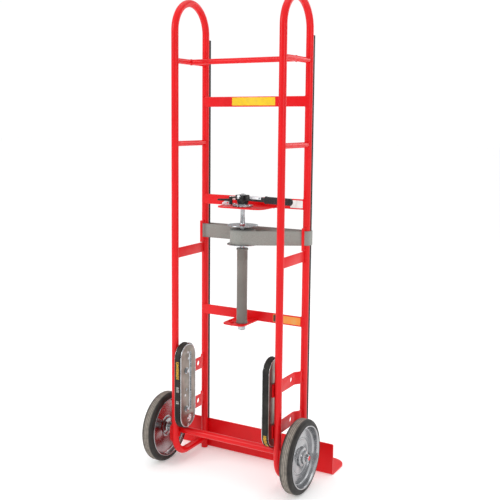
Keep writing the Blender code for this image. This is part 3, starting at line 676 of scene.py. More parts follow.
def boltTree():
    # a washer, a hexagon head, and the chamfered crown on it, sized by the head's radius
    inputs = [("Head", "Float", 0.0085), ("Facing", "Vector", (0, 0, 1)), ("Twist", "Float", 0.3)]
    tree, given = newTree("hexBolts", inputs)
    washer = add(tree, "GeometryNodeMeshCylinder", {"Vertices": 36, "Radius": 1.28, "Depth": 0.2})
    hexagon = add(tree, "GeometryNodeMeshCylinder", {"Vertices": 6, "Radius": 1.0, "Depth": 0.62})
    crown = {"Vertices": 36, "Radius Top": 0.66, "Radius Bottom": 0.86, "Depth": 0.1}
    top = add(tree, "GeometryNodeMeshCone", crown)
    parts = [washer]
    for part, rise in ((hexagon.outputs[0], 0.41), (top.outputs["Mesh"], 0.72)):
        parts.append(add(tree, "GeometryNodeTransform", {"Translation": (0, 0, rise)}, {0: part}))
    spin = add(tree, "ShaderNodeCombineXYZ", {}, {2: given["Twist"]}).outputs[0]
    spun = add(tree, "GeometryNodeTransform", {}, {0: joined(tree, *parts), "Rotation": spin})
    points, way = given["Geometry"], given["Facing"]
    return copies(tree, given, points, spun.outputs[0], "Z", way, given["Head"])


def ribTree():
    # small blocks set across a run of points, such as a belt's ribs or a row of stitches
    inputs = [("Pitch", "Float", 0.006), ("Block", "Vector", (0.002, 0.02, 0.001))]
    tree, given = newTree("crossRibs", inputs)
    points, way = spaced(tree, given, "Pitch")
    block = add(tree, "GeometryNodeMeshCube", {}, {"Size": given["Block"]})
    return copies(tree, given, points, block.outputs[0], "X", way)


trees = {
    "tube": tubeTree(),
    "weld": weldTree(),
    "rivet": rivetTree(),
    "bolt": boltTree(),
    "rib": ribTree(),
}
print("node trees ready")


# Frame

sideFrame = {"loopZ": 1.5617, "loopRadius": 0.1016, "bendRadius": 0.070, "runZ": 0.040, "footZ": 0.002}
crossMembers = {
    "rungRadius": 0.0095,
    "topRungZ": 1.460,
    "middleRungZ": 1.174,
    "flatRungZ": 0.786,
    "barThick": 0.005,
    "barHigh": 0.036,
    "barY": 0.0605,
    "bars": {"upper_flat_bar": 1.3225, "ratchet_bar": 0.967, "lower_flat_bar": 0.550},
}
weld = {"Bead": 0.0021, "Step": 0.0022, "Seed": 7}


def makeSideFrame(name, s):
    loop = sideFrame
    bend = loop["bendRadius"]
    over = arc((midY, loop["loopZ"]), loop["loopRadius"], 0, 180, 48)
    under = arc((rearY + bend, loop["runZ"] + bend), bend, 180, 270, 20)
    end = frontY - tubeRadius - 0.0015
    flat = [(frontY, loop["footZ"]), *over, *under, (end, loop["runZ"])]
    path = [(s * frameX, y, z) for y, z in flat]
    sizes = {"Radius": tubeRadius, "Sides": 48}
    made = grow(name + "SideTube", "tube", [path], "redEnamel", sizes)
    tidyMesh(made.data)
    fit(made, "redEnamel", name + "_side_frame")


def makeRungs(name, s):
    x, r = s * frameX, crossMembers["rungRadius"]
    half = midY - rearY - 0.006
    for label in ("top", "middle"):
        z = crossMembers[label + "RungZ"]
        profile = [(0, -half), (r, -half), (r, half), (0, half)]
        made = lathe(f"{name}{label.title()}Rung", profile, (x, midY, z), (0, 1, 0), 40)
        fit(made, "redEnamel", f"{name}_{label}_rung")
    low = (rearY + 0.009, crossMembers["flatRungZ"] - crossMembers["barHigh"] / 2)
    high = (frontY - 0.009, crossMembers["flatRungZ"] + crossMembers["barHigh"] / 2)
    outline = rounded(low, high, (0, 0, 0, 0))
    made = plateFrom(name + "FlatRung", [outline], crossMembers["barThick"], (x, 0, 0), "X", 0.0009)
    fit(made, "redEnamel", name + "_flat_rung")


def makeBars():
    half = frameX - 0.004
    r = crossMembers["rungRadius"]
    profile = [(0, -half), (r, -half), (r, half), (0, half)]
    at = (0, midY, crossMembers["topRungZ"])
    fit(lathe("topCrossbar", profile, at, (1, 0, 0), 40), "redEnamel", "top_crossbar")
    high = crossMembers["barHigh"] / 2
    half = frameX
    for node, z in crossMembers["bars"].items():
        outline = rounded((-half, z - high), (half, z + high), (0.002,) * 4, 3)
        words = node.split("_")
        name = words[0] + "".join(word.title() for word in words[1:])
        at = (0, crossMembers["barY"], 0)
        fit(plateFrom(name, [outline], crossMembers["barThick"], at, "Y", 0.0009), "redEnamel", node)


def roundSeam(x, legY, z, r, toward, main):
    # where a round bar runs into the side of an upright tube
    seam = []
    for i in range(25):
        a = 2 * pi * i / 24
        off = r * cos(a)
        y = legY + toward * sqrt(max(0, main**2 - off**2))
        seam.append((x + off, y, z + r * sin(a)))
    return seam


def frameSeams(s):
    big, small = tubeRadius, crossMembers["rungRadius"]
    x, rear, front = s * frameX, rearY, frontY
    seams = []
    for z in (crossMembers["topRungZ"], crossMembers["middleRungZ"]):
        seams.append(roundSeam(x, rear, z, small, 1, big))
        seams.append(roundSeam(x, front, z, small, -1, big))
    seams.append(roundSeam(x, front, sideFrame["runZ"], big, -1, big))
    half = crossMembers["barHigh"] / 2
    z = crossMembers["flatRungZ"]
    for y in (rear + big - 0.0002, front - big + 0.0002):
        for dx in (-0.0027, 0.0027):
            seams.append([(x + dx, y, z - half), (x + dx, y, z + half)])
    bar = [crossMembers["barY"] + side * crossMembers["barThick"] / 2 - front for side in (-1, 1)]
    inner = x - s * sqrt(big**2 - bar[1] ** 2)
    for z in crossMembers["bars"].values():
        seams.append([(inner, front + bar[1], z - half), (inner, front + bar[1], z + half)])
        for edge in (-half, half):
            ends = [0.0002, 0.003, 0.006, 0.0085]
            seams.append([(x - s * d, front - sqrt(big**2 - d**2), z + edge) for d in ends])
    z = crossMembers["topRungZ"]
    around = []
    for i in range(25):
        a = i * pi / 12
        away = sqrt(small**2 - (small * sin(a)) ** 2)
        around.append((x - s * away, midY + small * cos(a), z + small * sin(a)))
    seams.append(around)
    for lean in (-32, 32):  # up the front leg beside the nose plate
        dx = big * sin(radians(lean))
        seams.append([(x + dx, front + big * 0.93, 0.010), (x + dx, front + big * 0.93, 0.110)])
    for y in (rear - 0.0075, rear + 0.0075):  # axle bracket on the rear leg
        seams.append([(x + s * 0.0118, y, 0.094), (x + s * 0.0118, y, 0.150)])
    ring = arc((axleY, axleZ), big, 0, 360, 24)
    seams.append([(s * bracketX - s * 0.0004, y, z) for y, z in ring])
    for z in (0.353, 0.209):  # climber brackets on the front leg
        for dx in (-0.0036, 0.0024):
            seams.append([(x + s * dx, front - big, z - 0.022), (x + s * dx, front - big, z + 0.022)])
    return seams


def makeWelds():
    for name, s in sides.items():
        fit(grow(name + "Welds", "weld", frameSeams(s), "redEnamel", weld), "redEnamel")


for name, s in sides.items():
    makeSideFrame(name, s)
    makeRungs(name, s)
makeBars()
makeWelds()
print("frame made")


# Nose plate and rubber strips

nosePlate = {
    "half": 0.320,
    "y": 0.0867,
    "top": 0.114,
    "bend": 0.0065,
    "thick": 0.005,
    "front": 0.223,
    "corner": 0.055,
    "topCorner": 0.006,
}
strip = {"half": 0.012, "front": 0.0893, "low": 0.116, "top": 1.545, "groove": 0.0007}


def makeNosePlate():
    n = nosePlate
    half, low = n["half"], n["thick"] / 2
    rows = []
    for i in range(7):  # rounded top corners
        a = radians(90 - 15 * i)
        z = n["top"] - n["topCorner"] * (1 - sin(a))
        rows.append((n["y"], z, half - n["topCorner"] * (1 - cos(a))))
    bendAt = (n["y"] + n["bend"], low + n["bend"])
    rows += [(y, z, half) for y, z in arc(bendAt, n["bend"], 180, 270, 8)]
    for i in range(13):  # rounded toe corners
        a = radians(7.5 * i)
        y = n["front"] - n["corner"] * (1 - sin(a))
        rows.append((y, low, half - n["corner"] * (1 - cos(a))))
    across = [i / 12 - 1 for i in range(25)]
    points = [(w * t, y, z) for y, z, w in rows for t in across]
    faces = []
    for i in range(len(rows) - 1):
        for j in range(24):
            a = i * 25 + j
            faces.append((a, a + 1, a + 26, a + 25))
    made = fromFaces("nosePlate", points, faces)
    step = made.modifiers.new("thick", "SOLIDIFY")
    step.thickness = n["thick"]
    step.offset = 0
    step.use_even_offset = True
    bakeShape(made)
    lowest = min(v.co.z for v in made.data.vertices)
    made.data.transform(Matrix.Translation((0, 0, 0.0001 - lowest)))
    fit(made, "redEnamel", "nose_plate", edge=0.0009)


def makeStrip(name, s):
    n, x = strip, s * frameX
    hug = arc((x, frontY), tubeRadius + 0.0003, 157, 23, 16)
    front, g = n["front"], n["groove"]
    nose = [(x + n["half"], front - 0.0014), (x + n["half"] - 0.0014, front)]
    for at in (0.006, 0.0, -0.006):
        for dx, dy in ((0.0012, 0), (0.0006, -g), (-0.0006, -g), (-0.0012, 0)):
            nose.append((x + at + dx, front + dy))
    nose += [(x - n["half"] + 0.0014, front), (x - n["half"], front - 0.0014)]
    made = plateFrom(
        name + "FrontStrip",
        [hug + nose],
        n["top"] - n["low"],
        (0, 0, (n["top"] + n["low"]) / 2),
        rim=0.0002,
    )
    fit(made, "strip", name + "_front_strip")


makeNosePlate()
for name, s in sides.items():
    makeStrip(name, s)
print("nose plate made")


# Axle and wheels

axleSizes = {"radius": 0.00794, "end": 0.3112, "tubeRadius": 0.0127}
bracket = {"rear": -0.141, "front": -0.078, "low": 0.092, "top": 0.152, "thick": 0.005, "corner": 0.010}
wheel = {
    "steps": 144,
    "tyre": [  # radius, distance from the wheel's middle
        (0.1038, 0.0198), (0.1045, 0.0207), (0.1060, 0.0213), (0.1085, 0.0215),
        (0.1100, 0.0209), (0.1112, 0.0209), (0.1124, 0.0215), (0.1160, 0.0211),
        (0.1190, 0.0203), (0.1215, 0.0190), (0.1237, 0.0172), (0.1252, 0.0152),
        (0.1264, 0.0129), (0.1270, 0.0106), (0.1270, 0.0090), (0.1262, 0.0086),
        (0.1262, 0.0076), (0.1270, 0.0072), (0.1270, 0.0040), (0.1264, 0.0036),
        (0.1264, 0.0028), (0.1270, 0.0024),
    ],
    "rim": [
        (0.1026, 0.0218), (0.1031, 0.0228), (0.1041, 0.0235), (0.1053, 0.0237),
        (0.1064, 0.0233), (0.1070, 0.0224), (0.1067, 0.0215), (0.1053, 0.0209),
        (0.1036, 0.0200),
    ],
    "back": [
        (0.1012, -0.0185), (0.1003, -0.0150), (0.0990, -0.0088), (0.0968, -0.0064),
        (0.0930, -0.0053), (0.0400, -0.0050), (0.0345, -0.0058), (0.0306, -0.0085),
        (0.0296, -0.0120), (0.0190, -0.0148), (0.0170, -0.0180), (0.0165, -0.0492),
        (0.00826, -0.0492),
    ],
    "front": [
        (0.00826, 0.0275), (0.0126, 0.0275), (0.0133, 0.0268), (0.0136, 0.0238),
        (0.0143, 0.0228), (0.0158, 0.0222), (0.0204, 0.0214), (0.0217, 0.0204),
        (0.0221, 0.0190), (0.0226, 0.0142), (0.0234, 0.0131), (0.0250, 0.0125),
        (0.0300, 0.0118), (0.0316, 0.0108), (0.0322, 0.0092), (0.0328, 0.0030),
        (0.0338, 0.0011), (0.0356, 0.0002), (0.0560, 0.0001), (0.0570, 0.0008),
        (0.0600, 0.0012), (0.0630, 0.0008), (0.0640, 0.0001), (0.0900, -0.0006),
        (0.0940, -0.0004), (0.0968, 0.0008), (0.0985, 0.0034), (0.0996, 0.0072),
        (0.1004, 0.0118), (0.1012, 0.0185),
    ],
    "rivetReach": 0.0868,
    "rivetTurns": (84, 204, 324),
}


def ringProfile(outer, inner, low, high, ease):
    return [
        (inner, low), (outer - ease, low), (outer, low + ease), (outer, high - ease),
        (outer - ease, high), (inner, high),
    ]


def makeAxle():
    n, at = axleSizes, (0, axleY, axleZ)
    r, end = n["radius"], n["end"]
    half = [(r, end - 0.0030), (r - 0.0005, end - 0.0016), (r - 0.0018, end - 0.0005), (0, end)]
    profile = [(radius, -x) for radius, x in reversed(half)] + half
    fit(lathe("axleShaft", profile, at, (1, 0, 0), 40), "redEnamel", "axle")
    half = bracketX - 0.0003
    profile = ringProfile(n["tubeRadius"], r + 0.0004, -half, half, 0.0004)
    fit(lathe("axleTube", profile, at, (1, 0, 0), 48), "redEnamel", "axle_tube")
    for name, s in sides.items():
        b = bracket
        outline = rounded((b["rear"], b["low"]), (b["front"], b["top"]), (b["corner"],) * 4)
        hole = arc((axleY, axleZ), r + 0.0003, 0, 345, 23)
        x = s * (bracketX + b["thick"] / 2)
        made = plateFrom(name + "AxleBracket", [outline, hole], b["thick"], (x, 0, 0), "X", 0.0007)
        fit(made, "redEnamel", name + "_axle_bracket")
        low = wheelX + 0.0278
        profile = ringProfile(0.0125, r + 0.0003, low, low + 0.0025, 0.0005)
        fit(lathe(name + "AxleWasher", profile, at, (s, 0, 0), 48), "zinc", name + "_axle_washer")
        cap = [  # pressed cap that holds the washer
            (0.0081, 0.3062), (0.0106, 0.3062), (0.0109, 0.3066), (0.0108, 0.3080),
            (0.0098, 0.3092), (0.0084, 0.3096), (0.0081, 0.3094),
        ]
        fit(lathe(name + "AxleCap", cap, at, (s, 0, 0), 48), "polished")


def makeWheel(name, s):
    w, at = wheel, (s * wheelX, axleY, axleZ)
    body = name + "_wheel"
    ring = w["tyre"] + [(r, -x) for r, x in reversed(w["tyre"])]
    made = lathe(name + "Tyre", ring, at, (s, 0, 0), w["steps"])
    fit(made, "tyre", name + "_tyre", body=body, angle=48)
    rear = [(r, -x) for r, x in reversed(w["rim"])]
    ring = w["rim"] + rear + w["back"] + w["front"]
    made = lathe(name + "WheelDisc", ring, at, (s, 0, 0), w["steps"])
    fit(made, "aluminium", name + "_wheel_disc", body=body, angle=28)
    places = []
    for turn in w["rivetTurns"]:
        a = radians(turn)
        y, z = w["rivetReach"] * cos(a), w["rivetReach"] * sin(a)
        places.append([(s * (wheelX - 0.0004), axleY + y, axleZ + z)])
    sizes = {"Radius": 0.0031, "Dome": 0.5, "Facing": (s, 0, 0)}
    fit(grow(name + "WheelRivets", "rivet", places, "polished", sizes), "polished", body=body)


makeAxle()
for name, s in sides.items():
    makeWheel(name, s)
print("wheels made")


# Stair climbers

climber = {
    "inner": 0.163,
    "outer": 0.189,
    "skin": 0.0018,
    "low": 0.149,
    "top": 0.462,
    "coverHalf": 0.0490,
    "lipRadius": 0.0020,
    "window": (0.011, 0.166, 0.196, 0.012),  # half width, lowest, highest, forward shift
    "channel": (0.0070, 0.212, 0.430, 0.013),
    "channelDeep": 0.0022,
    "studZ": (0.1827, 0.4283),
    "bolts": {"upper": 0.364, "lower": 0.222},
    "boltY": -0.128,
    "brackets": {"upper": 0.353, "lower": 0.209},
}
belt = {"outHalf": 0.051, "inHalf": 0.0436, "low": 0.1651, "high": 0.1869, "pitch": 0.0063}


def stadiumRings(profile, y, low, high, outside):
    # rings of a stadium's outline: profile holds (inset, x)
    rings = []
    for inset, x in profile:
        flat = stadium(outside - inset, low + inset, high - inset, 24, y)
        rings.append([(x, a, b) for a, b in flat])
    return rings


def lipRing(name, s, x, half, low, top, r):
    # a rolled rim that runs all round a cover
    turns = [radians(30 * i) for i in range(12)]
    profile = [(r + r * cos(a), x + s * r * sin(a)) for a in turns]
    return loft(name, stadiumRings(profile, climberY, low, top, half), loop=True)


def makeCover(name, s):
    c = climber
    y, low, top = climberY, c["low"] + 0.002, c["top"] - 0.002
    half, r = c["coverHalf"], c["lipRadius"]
    wide, windowLow, windowTop, forward = c["window"]
    ribWide, ribLow, ribTop, ribForward = c["channel"]
    holes = [stadium(wide, windowLow, windowTop, 12, y + forward)]
    holes.append(stadium(ribWide, ribLow, ribTop, 12, y + ribForward))
    for z in c["studZ"]:
        holes.append(arc((y, z), 0.0053, 0, 345, 23))
    x = s * (c["inner"] + c["skin"] / 2)
    outline = stadium(half - r, low + r, top - r, 24, y)
    made = plateFrom(name + "CoverPlate", [outline, *holes], c["skin"], (x, 0, 0), "X", 0.0004)
    fit(made, "cover", name + "_climber_cover")
    fit(lipRing(name + "CoverLip", s, s * (c["inner"] + 0.0006), half, low, top, r), "polished")
    z = (windowLow + windowTop) / 2  # bearing race that shows in the window
    face = c["inner"] + 0.0004
    race = [
        (0.0022, face + 0.0030), (0.0022, face + 0.0010), (0.0030, face), (0.0068, face),
        (0.0078, face + 0.0008), (0.0082, face + 0.0026), (0.0100, face + 0.0026),
        (0.0104, face + 0.0012), (0.0112, face + 0.0006), (0.0138, face + 0.0010),
        (0.0138, face + 0.0034), (0.0022, face + 0.0034),
    ]
    fit(lathe(name + "WindowRace", race, (0, y + forward, z), (s, 0, 0), 48), "bright")
    deep = c["channelDeep"]
    face = c["inner"] + 0.0002
    profile = [(-0.0004, face + 0.0006), (0, face), (0.0011, face - deep * 0.8), (0.0022, face - deep)]
    profile += [(0.0026, face - deep), (0.0026, face + 0.0008)]
    rings = []
    for inset, away in profile:
        flat = stadium(ribWide - inset, ribLow + inset, ribTop - inset, 12, y + ribForward)
        rings.append([(s * away, a, b) for a, b in flat])
    fit(loft(name + "CoverChannel", rings), "zinc")
    facingIn = {"Facing": (-s, 0, 0)}
    middle = [[(s * (c["inner"] - 0.0004), c["boltY"] + 0.001, 0.2935)]]
    fit(grow(name + "CoverScrews", "rivet", middle, "zinc", {"Radius": 0.0040, **facingIn}), "zinc")
    rivets = [[(s * c["inner"], y - 0.018, 0.2740)]]
    rivets += [[(s * c["inner"], y + 0.002, z)] for z in (0.4050, 0.1580)]
    for z in c["studZ"]:
        rivets.append([(s * (c["inner"] + 0.0004), y, z)])
    made = grow(name + "CoverRivets", "rivet", rivets, "polished", {"Radius": 0.0036, **facingIn})
    fit(made, "bright")


def makeClimberBolts(name, s):
    c = climber
    heads = [[(s * (c["inner"] - 0.0008), c["boltY"], z)] for z in c["bolts"].values()]
    sizes = {"Head": 0.0088, "Facing": (-s, 0, 0), "Twist": 0.35}
    made = grow(name + "ClimberBolts", "bolt", heads, "zinc", sizes)
    nodes = [f"{name}_climber_{label}_bolt" for label in c["bolts"]]
    fit(made, "zinc", *nodes)


def makeHousingLip(name, s):
    c = climber
    low, top = c["low"] + 0.002, c["top"] - 0.002
    x = s * (c["outer"] - 0.0012)
    fit(lipRing(name + "HousingLip", s, x, c["coverHalf"], low, top, c["lipRadius"] * 0.75), "polished")
    keepNode(name + "_climber_housing", "cover")
    for label in c["bolts"]:
        keepNode(f"{name}_{label}_roller", "polished")


def beltPoint(travel, offset):
    # a place on the belt's outside, measured down its rear face from the upper bend
    half = belt["outHalf"] + offset
    y, low, top = climberY, climber["low"] + belt["outHalf"], climber["top"] - belt["outHalf"]
    straight = top - low
    if travel <= straight:
        return (y - half, top - travel)
    a = pi + (travel - straight) / belt["outHalf"]
    return (y + half * cos(a), low + half * sin(a))


def makeBelt(name, s):
    b, c = belt, climber
    wide = b["outHalf"] - b["inHalf"]
    e = 0.0012
    profile = [  # inset, x: a rounded oblong section with a ridge along each edge
        (e, b["low"]), (0, b["low"] + e), (0, b["low"] + 0.0034), (0.0007, b["low"] + 0.0042),
        (0.0007, b["high"] - 0.0042), (0, b["high"] - 0.0034), (0, b["high"] - e), (e, b["high"]),
        (wide - e, b["high"]), (wide, b["high"] - e), (wide, b["low"] + e), (wide - e, b["low"]),
    ]
    profile = [(inset, s * x) for inset, x in profile]
    rings = stadiumRings(profile, climberY, c["low"], c["top"], b["outHalf"])
    fit(loft(name + "Belt", rings, loop=True), "belt", name + "_climber_belt", angle=35)
    y = climberY
    ribs = []
    for x in (b["low"] + 0.0021, b["high"] - 0.0021):
        flat = stadium(b["outHalf"] + 0.0001, c["low"] - 0.0001, c["top"] + 0.0001, 24, y)
        ribs.append([(s * x, p, q) for p, q in [*flat, flat[0]]])
    sizes = {"Pitch": b["pitch"], "Block": (0.0022, 0.0036, 0.0011)}
    fit(grow(name + "BeltRibs", "rib", ribs, "belt", sizes), "belt")


def makeBeltPrint(name, s, label, ink, start, end):
    # a patch of ink on the belt's middle band, with no lettering
    middle = (belt["low"] + belt["high"]) / 2
    half = 0.0056
    steps = max(2, int((end - start) / 0.004))
    under, over = [], []
    for i in range(steps + 1):
        travel = start + (end - start) * i / steps
        for row, offset in ((under, -0.0009), (over, -0.0004)):
            y, z = beltPoint(travel, offset)
            row.append([(s * (middle - half), y, z), (s * (middle + half), y, z)])
    rings = [[u[0], u[1], o[1], o[0]] for u, o in zip(under, over)]
    fit(loft(f"{name}{label}", rings), ink)


def makeClimberBracket(name, s, label):
    # bent flat strip from the climber to the back of the front leg, with a round hole
    z = climber["brackets"][label]
    x, out = climber["outer"] + 0.0003 + 0.0025, frameX - 0.001
    rear = rearY
    corners = [(x, rear - 0.010), (x, rear + 0.156), (out, rear + 0.174), (out, rear + 0.1925)]
    path = [Vector(corners[0])]
    for before, here, after in zip(corners, corners[1:], corners[2:]):
        here = Vector(here)
        first = here + (Vector(before) - here).normalized() * 0.006
        last = here + (Vector(after) - here).normalized() * 0.006
        for i in range(5):
            t = i / 4
            path.append(first * (1 - t) ** 2 + here * 2 * t * (1 - t) + last * t**2)
    path.append(Vector(corners[-1]))
    near, far = [], []
    for i, point in enumerate(path):
        ahead = path[min(i + 1, len(path) - 1)] - path[max(i - 1, 0)]
        side = Vector((-ahead.y, ahead.x)).normalized() * 0.0025
        near.append((s * (point.x + side.x), point.y + side.y))
        far.append((s * (point.x - side.x), point.y - side.y))
    title = f"{name}Climber{label.title()}Bracket"
    made = plateFrom(title, [near + far[::-1]], 0.045, (0, 0, z), rim=0.0006)
    rod = [(0, -0.02), (0.010, -0.02), (0.010, 0.02), (0, 0.02)]
    bore = lathe("bore", rod, (s * x, rear + 0.130, z + 0.002), (1, 0, 0), 40)
    cutAway(made, bore)
    fit(made, "redEnamel", f"{name}_climber_{label}_bracket")


for name, s in sides.items():
    makeCover(name, s)
    makeClimberBolts(name, s)
    makeHousingLip(name, s)
    makeBelt(name, s)
    for label in climber["brackets"]:
        makeClimberBracket(name, s, label)
beltTop = climber["top"] - belt["outHalf"]
makeBeltPrint("left", -1, "YellowPrint", "yellowInk", beltTop - 0.4025, beltTop - 0.339)
makeBeltPrint("left", -1, "WidePrint", "whiteInk", beltTop - 0.3107, beltTop - 0.2909)
makeBeltPrint("left", -1, "NarrowPrint", "whiteInk", beltTop - 0.2595, beltTop - 0.2482)
makeBeltPrint("right", 1, "YellowPrint", "yellowInk", beltTop - 0.2023, beltTop - 0.1500)
print("climbers made")


# Strap ratchet

ratchetPlate = {
    "half": 0.093,
    "rear": -0.055,
    "front": 0.0577,
    "z": 0.950,
    "thick": 0.005,
    "corner": 0.034,
}
drum = {
    "shaft": 0.00875,
    "flange": 0.055,
    "flangeThick": 0.0025,
    "topFlangeZ": 0.888,
    "lowFlangeZ": 0.821,
    "headTop": 0.994,
    "top": 1.001,
    "foot": 0.511,
}
gear = {"z": 0.9553, "thick": 0.008, "tip": 0.036, "root": 0.0305, "teeth": 16}
handle = {
    "z": 0.985,
    "headLow": 0.966,
    "headRadius": 0.021,
    "reach": 0.215,
    "gripLong": 0.110,
    "gripRadius": 0.0125,
    "ridges": 13,
    "armWide": 0.014,
    "armHigh": 0.0150,
    "block": ((-0.0205, -0.0190), (0.0175, 0.0180)),  # low and high corner, from the shaft
    "blockZ": 0.9872,
    "blockThick": 0.0185,
    "saddleWide": 0.0082,
    "saddleTop": 0.0098,
    "saddleLong": 0.050,
    "saddleAt": 0.064,
    "rivetsAt": (0.046, 0.082),
}
pawls = {
    "leverPivot": (-0.030, -0.047),
    "leverTip": (-0.064, -0.082),
    "leverZ": 0.980,
    "holdPivot": (-0.060, 0.007),
    "stopAt": (-0.066, -0.0165, 0.9552),
    "stopTurn": 24,
    "stopThick": 0.0022,
    "springTurns": 3,
    "springPitch": 0.0011,
}
recoil = {"radius": 0.019, "wall": 0.0025, "low": 0.5373, "top": 0.808, "plateZ": 0.532}
drumAt = (0, drumY, 0)


def edgeSeam(start, end, z):
    # weld runs over and under a plate that meets the ratchet bars
    y = ratchetPlate["front"] - 0.0002
    return [[(start, y, z + dz), (end, y, z + dz)] for dz in (-0.0006, 0.0056)]


def makeRatchetPlate():
    n = ratchetPlate
    low, high = (-n["half"], n["rear"]), (n["half"], n["front"])
    outline = rounded(low, high, (0.008, 0.008, n["corner"], n["corner"]), 12)
    hole = arc((0, drumY), 0.0094, 0, 345, 23)
    at = (0, 0, n["z"] + n["thick"] / 2)
    made = plateFrom("ratchetPlate", [outline, hole], n["thick"], at, "Z", 0.0010)
    fit(made, "redEnamel", "ratchet_plate")
    x, y = pawls["holdPivot"]
    pin = [(0, n["z"] - 0.006), (0.003, n["z"] - 0.006), (0.003, 0.9650), (0.0024, 0.9656), (0, 0.9656)]
    fit(lathe("pawlPin", pin, (x, y, 0), (0, 0, 1), 24), "polished")
    clip = ringProfile(0.0056, 0.0031, 0.9634, 0.9644, 0.0002)
    fit(lathe("pawlPinClip", clip, (x, y, 0), (0, 0, 1), 32), "zinc")
    under = [[(x, y, n["z"] - 0.0012)], [(0.058, 0.030, n["z"] - 0.0012)]]
    fit(grow("plateUnderBolts", "bolt", under, "zinc", {"Head": 0.0062, "Facing": (0, 0, -1)}), "zinc")
    seam = edgeSeam(-0.088, 0.088, n["z"])
    fit(grow("ratchetPlateWeld", "weld", seam, "redEnamel", weld), "redEnamel")


def makeDrum():
    d = drum
    r, wide, thick = d["shaft"], d["flange"], d["flangeThick"]
    up, low = d["topFlangeZ"], d["lowFlangeZ"]
    profile = [
        (0, d["top"]), (0.0052, d["top"]), (0.0060, d["top"] - 0.0008), (0.0060, d["headTop"]),
        (r - 0.0006, d["headTop"] - 0.0008), (r - 0.0012, d["headTop"] - 0.002), (0.0080, 0.955),
        (0.0076, 0.948), (0.0078, 0.925), (0.0088, up + 0.0100), (0.0098, up + 0.0050),
        (0.0120, up + thick + 0.0004), (0.0135, up + thick), (wide - 0.0022, up + thick),
        (wide - 0.0006, up + thick + 0.0003), (wide, up + thick - 0.0008), (wide, up + 0.0006),
        (wide - 0.0008, up), (r, up), (r, low + thick), (wide - 0.0006, low + thick),
        (wide, low + thick - 0.0006), (wide, low + 0.0005), (wide - 0.0008, low), (r, low),
        (r, d["foot"] + 0.0010), (r - 0.0010, d["foot"]), (0, d["foot"]),
    ]
    fit(lathe("strapDrum", profile, drumAt, (0, 0, 1), 96), "zinc", "strap_drum", body="drum", angle=40)
    high = recoil["plateZ"] - 0.0003
    low = d["foot"] + 0.003
    hexagon = arc((0, drumY), 0.0155, 0, 300, 5)
    hole = arc((0, drumY), r + 0.0003, 0, 345, 23)
    made = plateFrom("lowerNut", [hexagon, hole], high - low, (0, 0, (high + low) / 2), "Z", 0.0011)
    fit(made, "zinc", "lower_nut", body="drum")


def makeGear():
    g, pitch = gear, 2 * pi / gear["teeth"]
    outline = []
    for tooth in range(g["teeth"]):
        half = (g["root"] + g["tip"]) / 2 - 0.0004
        for share, radius in ((0.0, g["root"]), (0.44, half), (0.86, g["tip"]), (0.97, g["tip"])):
            a = (tooth + share) * pitch
            outline.append((radius * cos(a), drumY + radius * sin(a)))
    hole = arc((0, drumY), drum["shaft"] + 0.0003, 0, 345, 23)
    middle = g["z"] + g["thick"] / 2
    made = plateFrom("ratchetGear", [outline, hole], g["thick"], (0, 0, middle), "Z", 0.0004)
    fit(made, "polished", "ratchet_gear", body="drum")
    top = g["z"] + g["thick"]
    boss = ringProfile(0.0165, drum["shaft"] + 0.0003, top - 0.0004, top + 0.0022, 0.0006)
    fit(lathe("gearBoss", boss, drumAt, (0, 0, 1), 48), "zinc", body="drum")


def alongHandle(reach, side, z):
    return handlePlace @ Vector((reach, side, z))


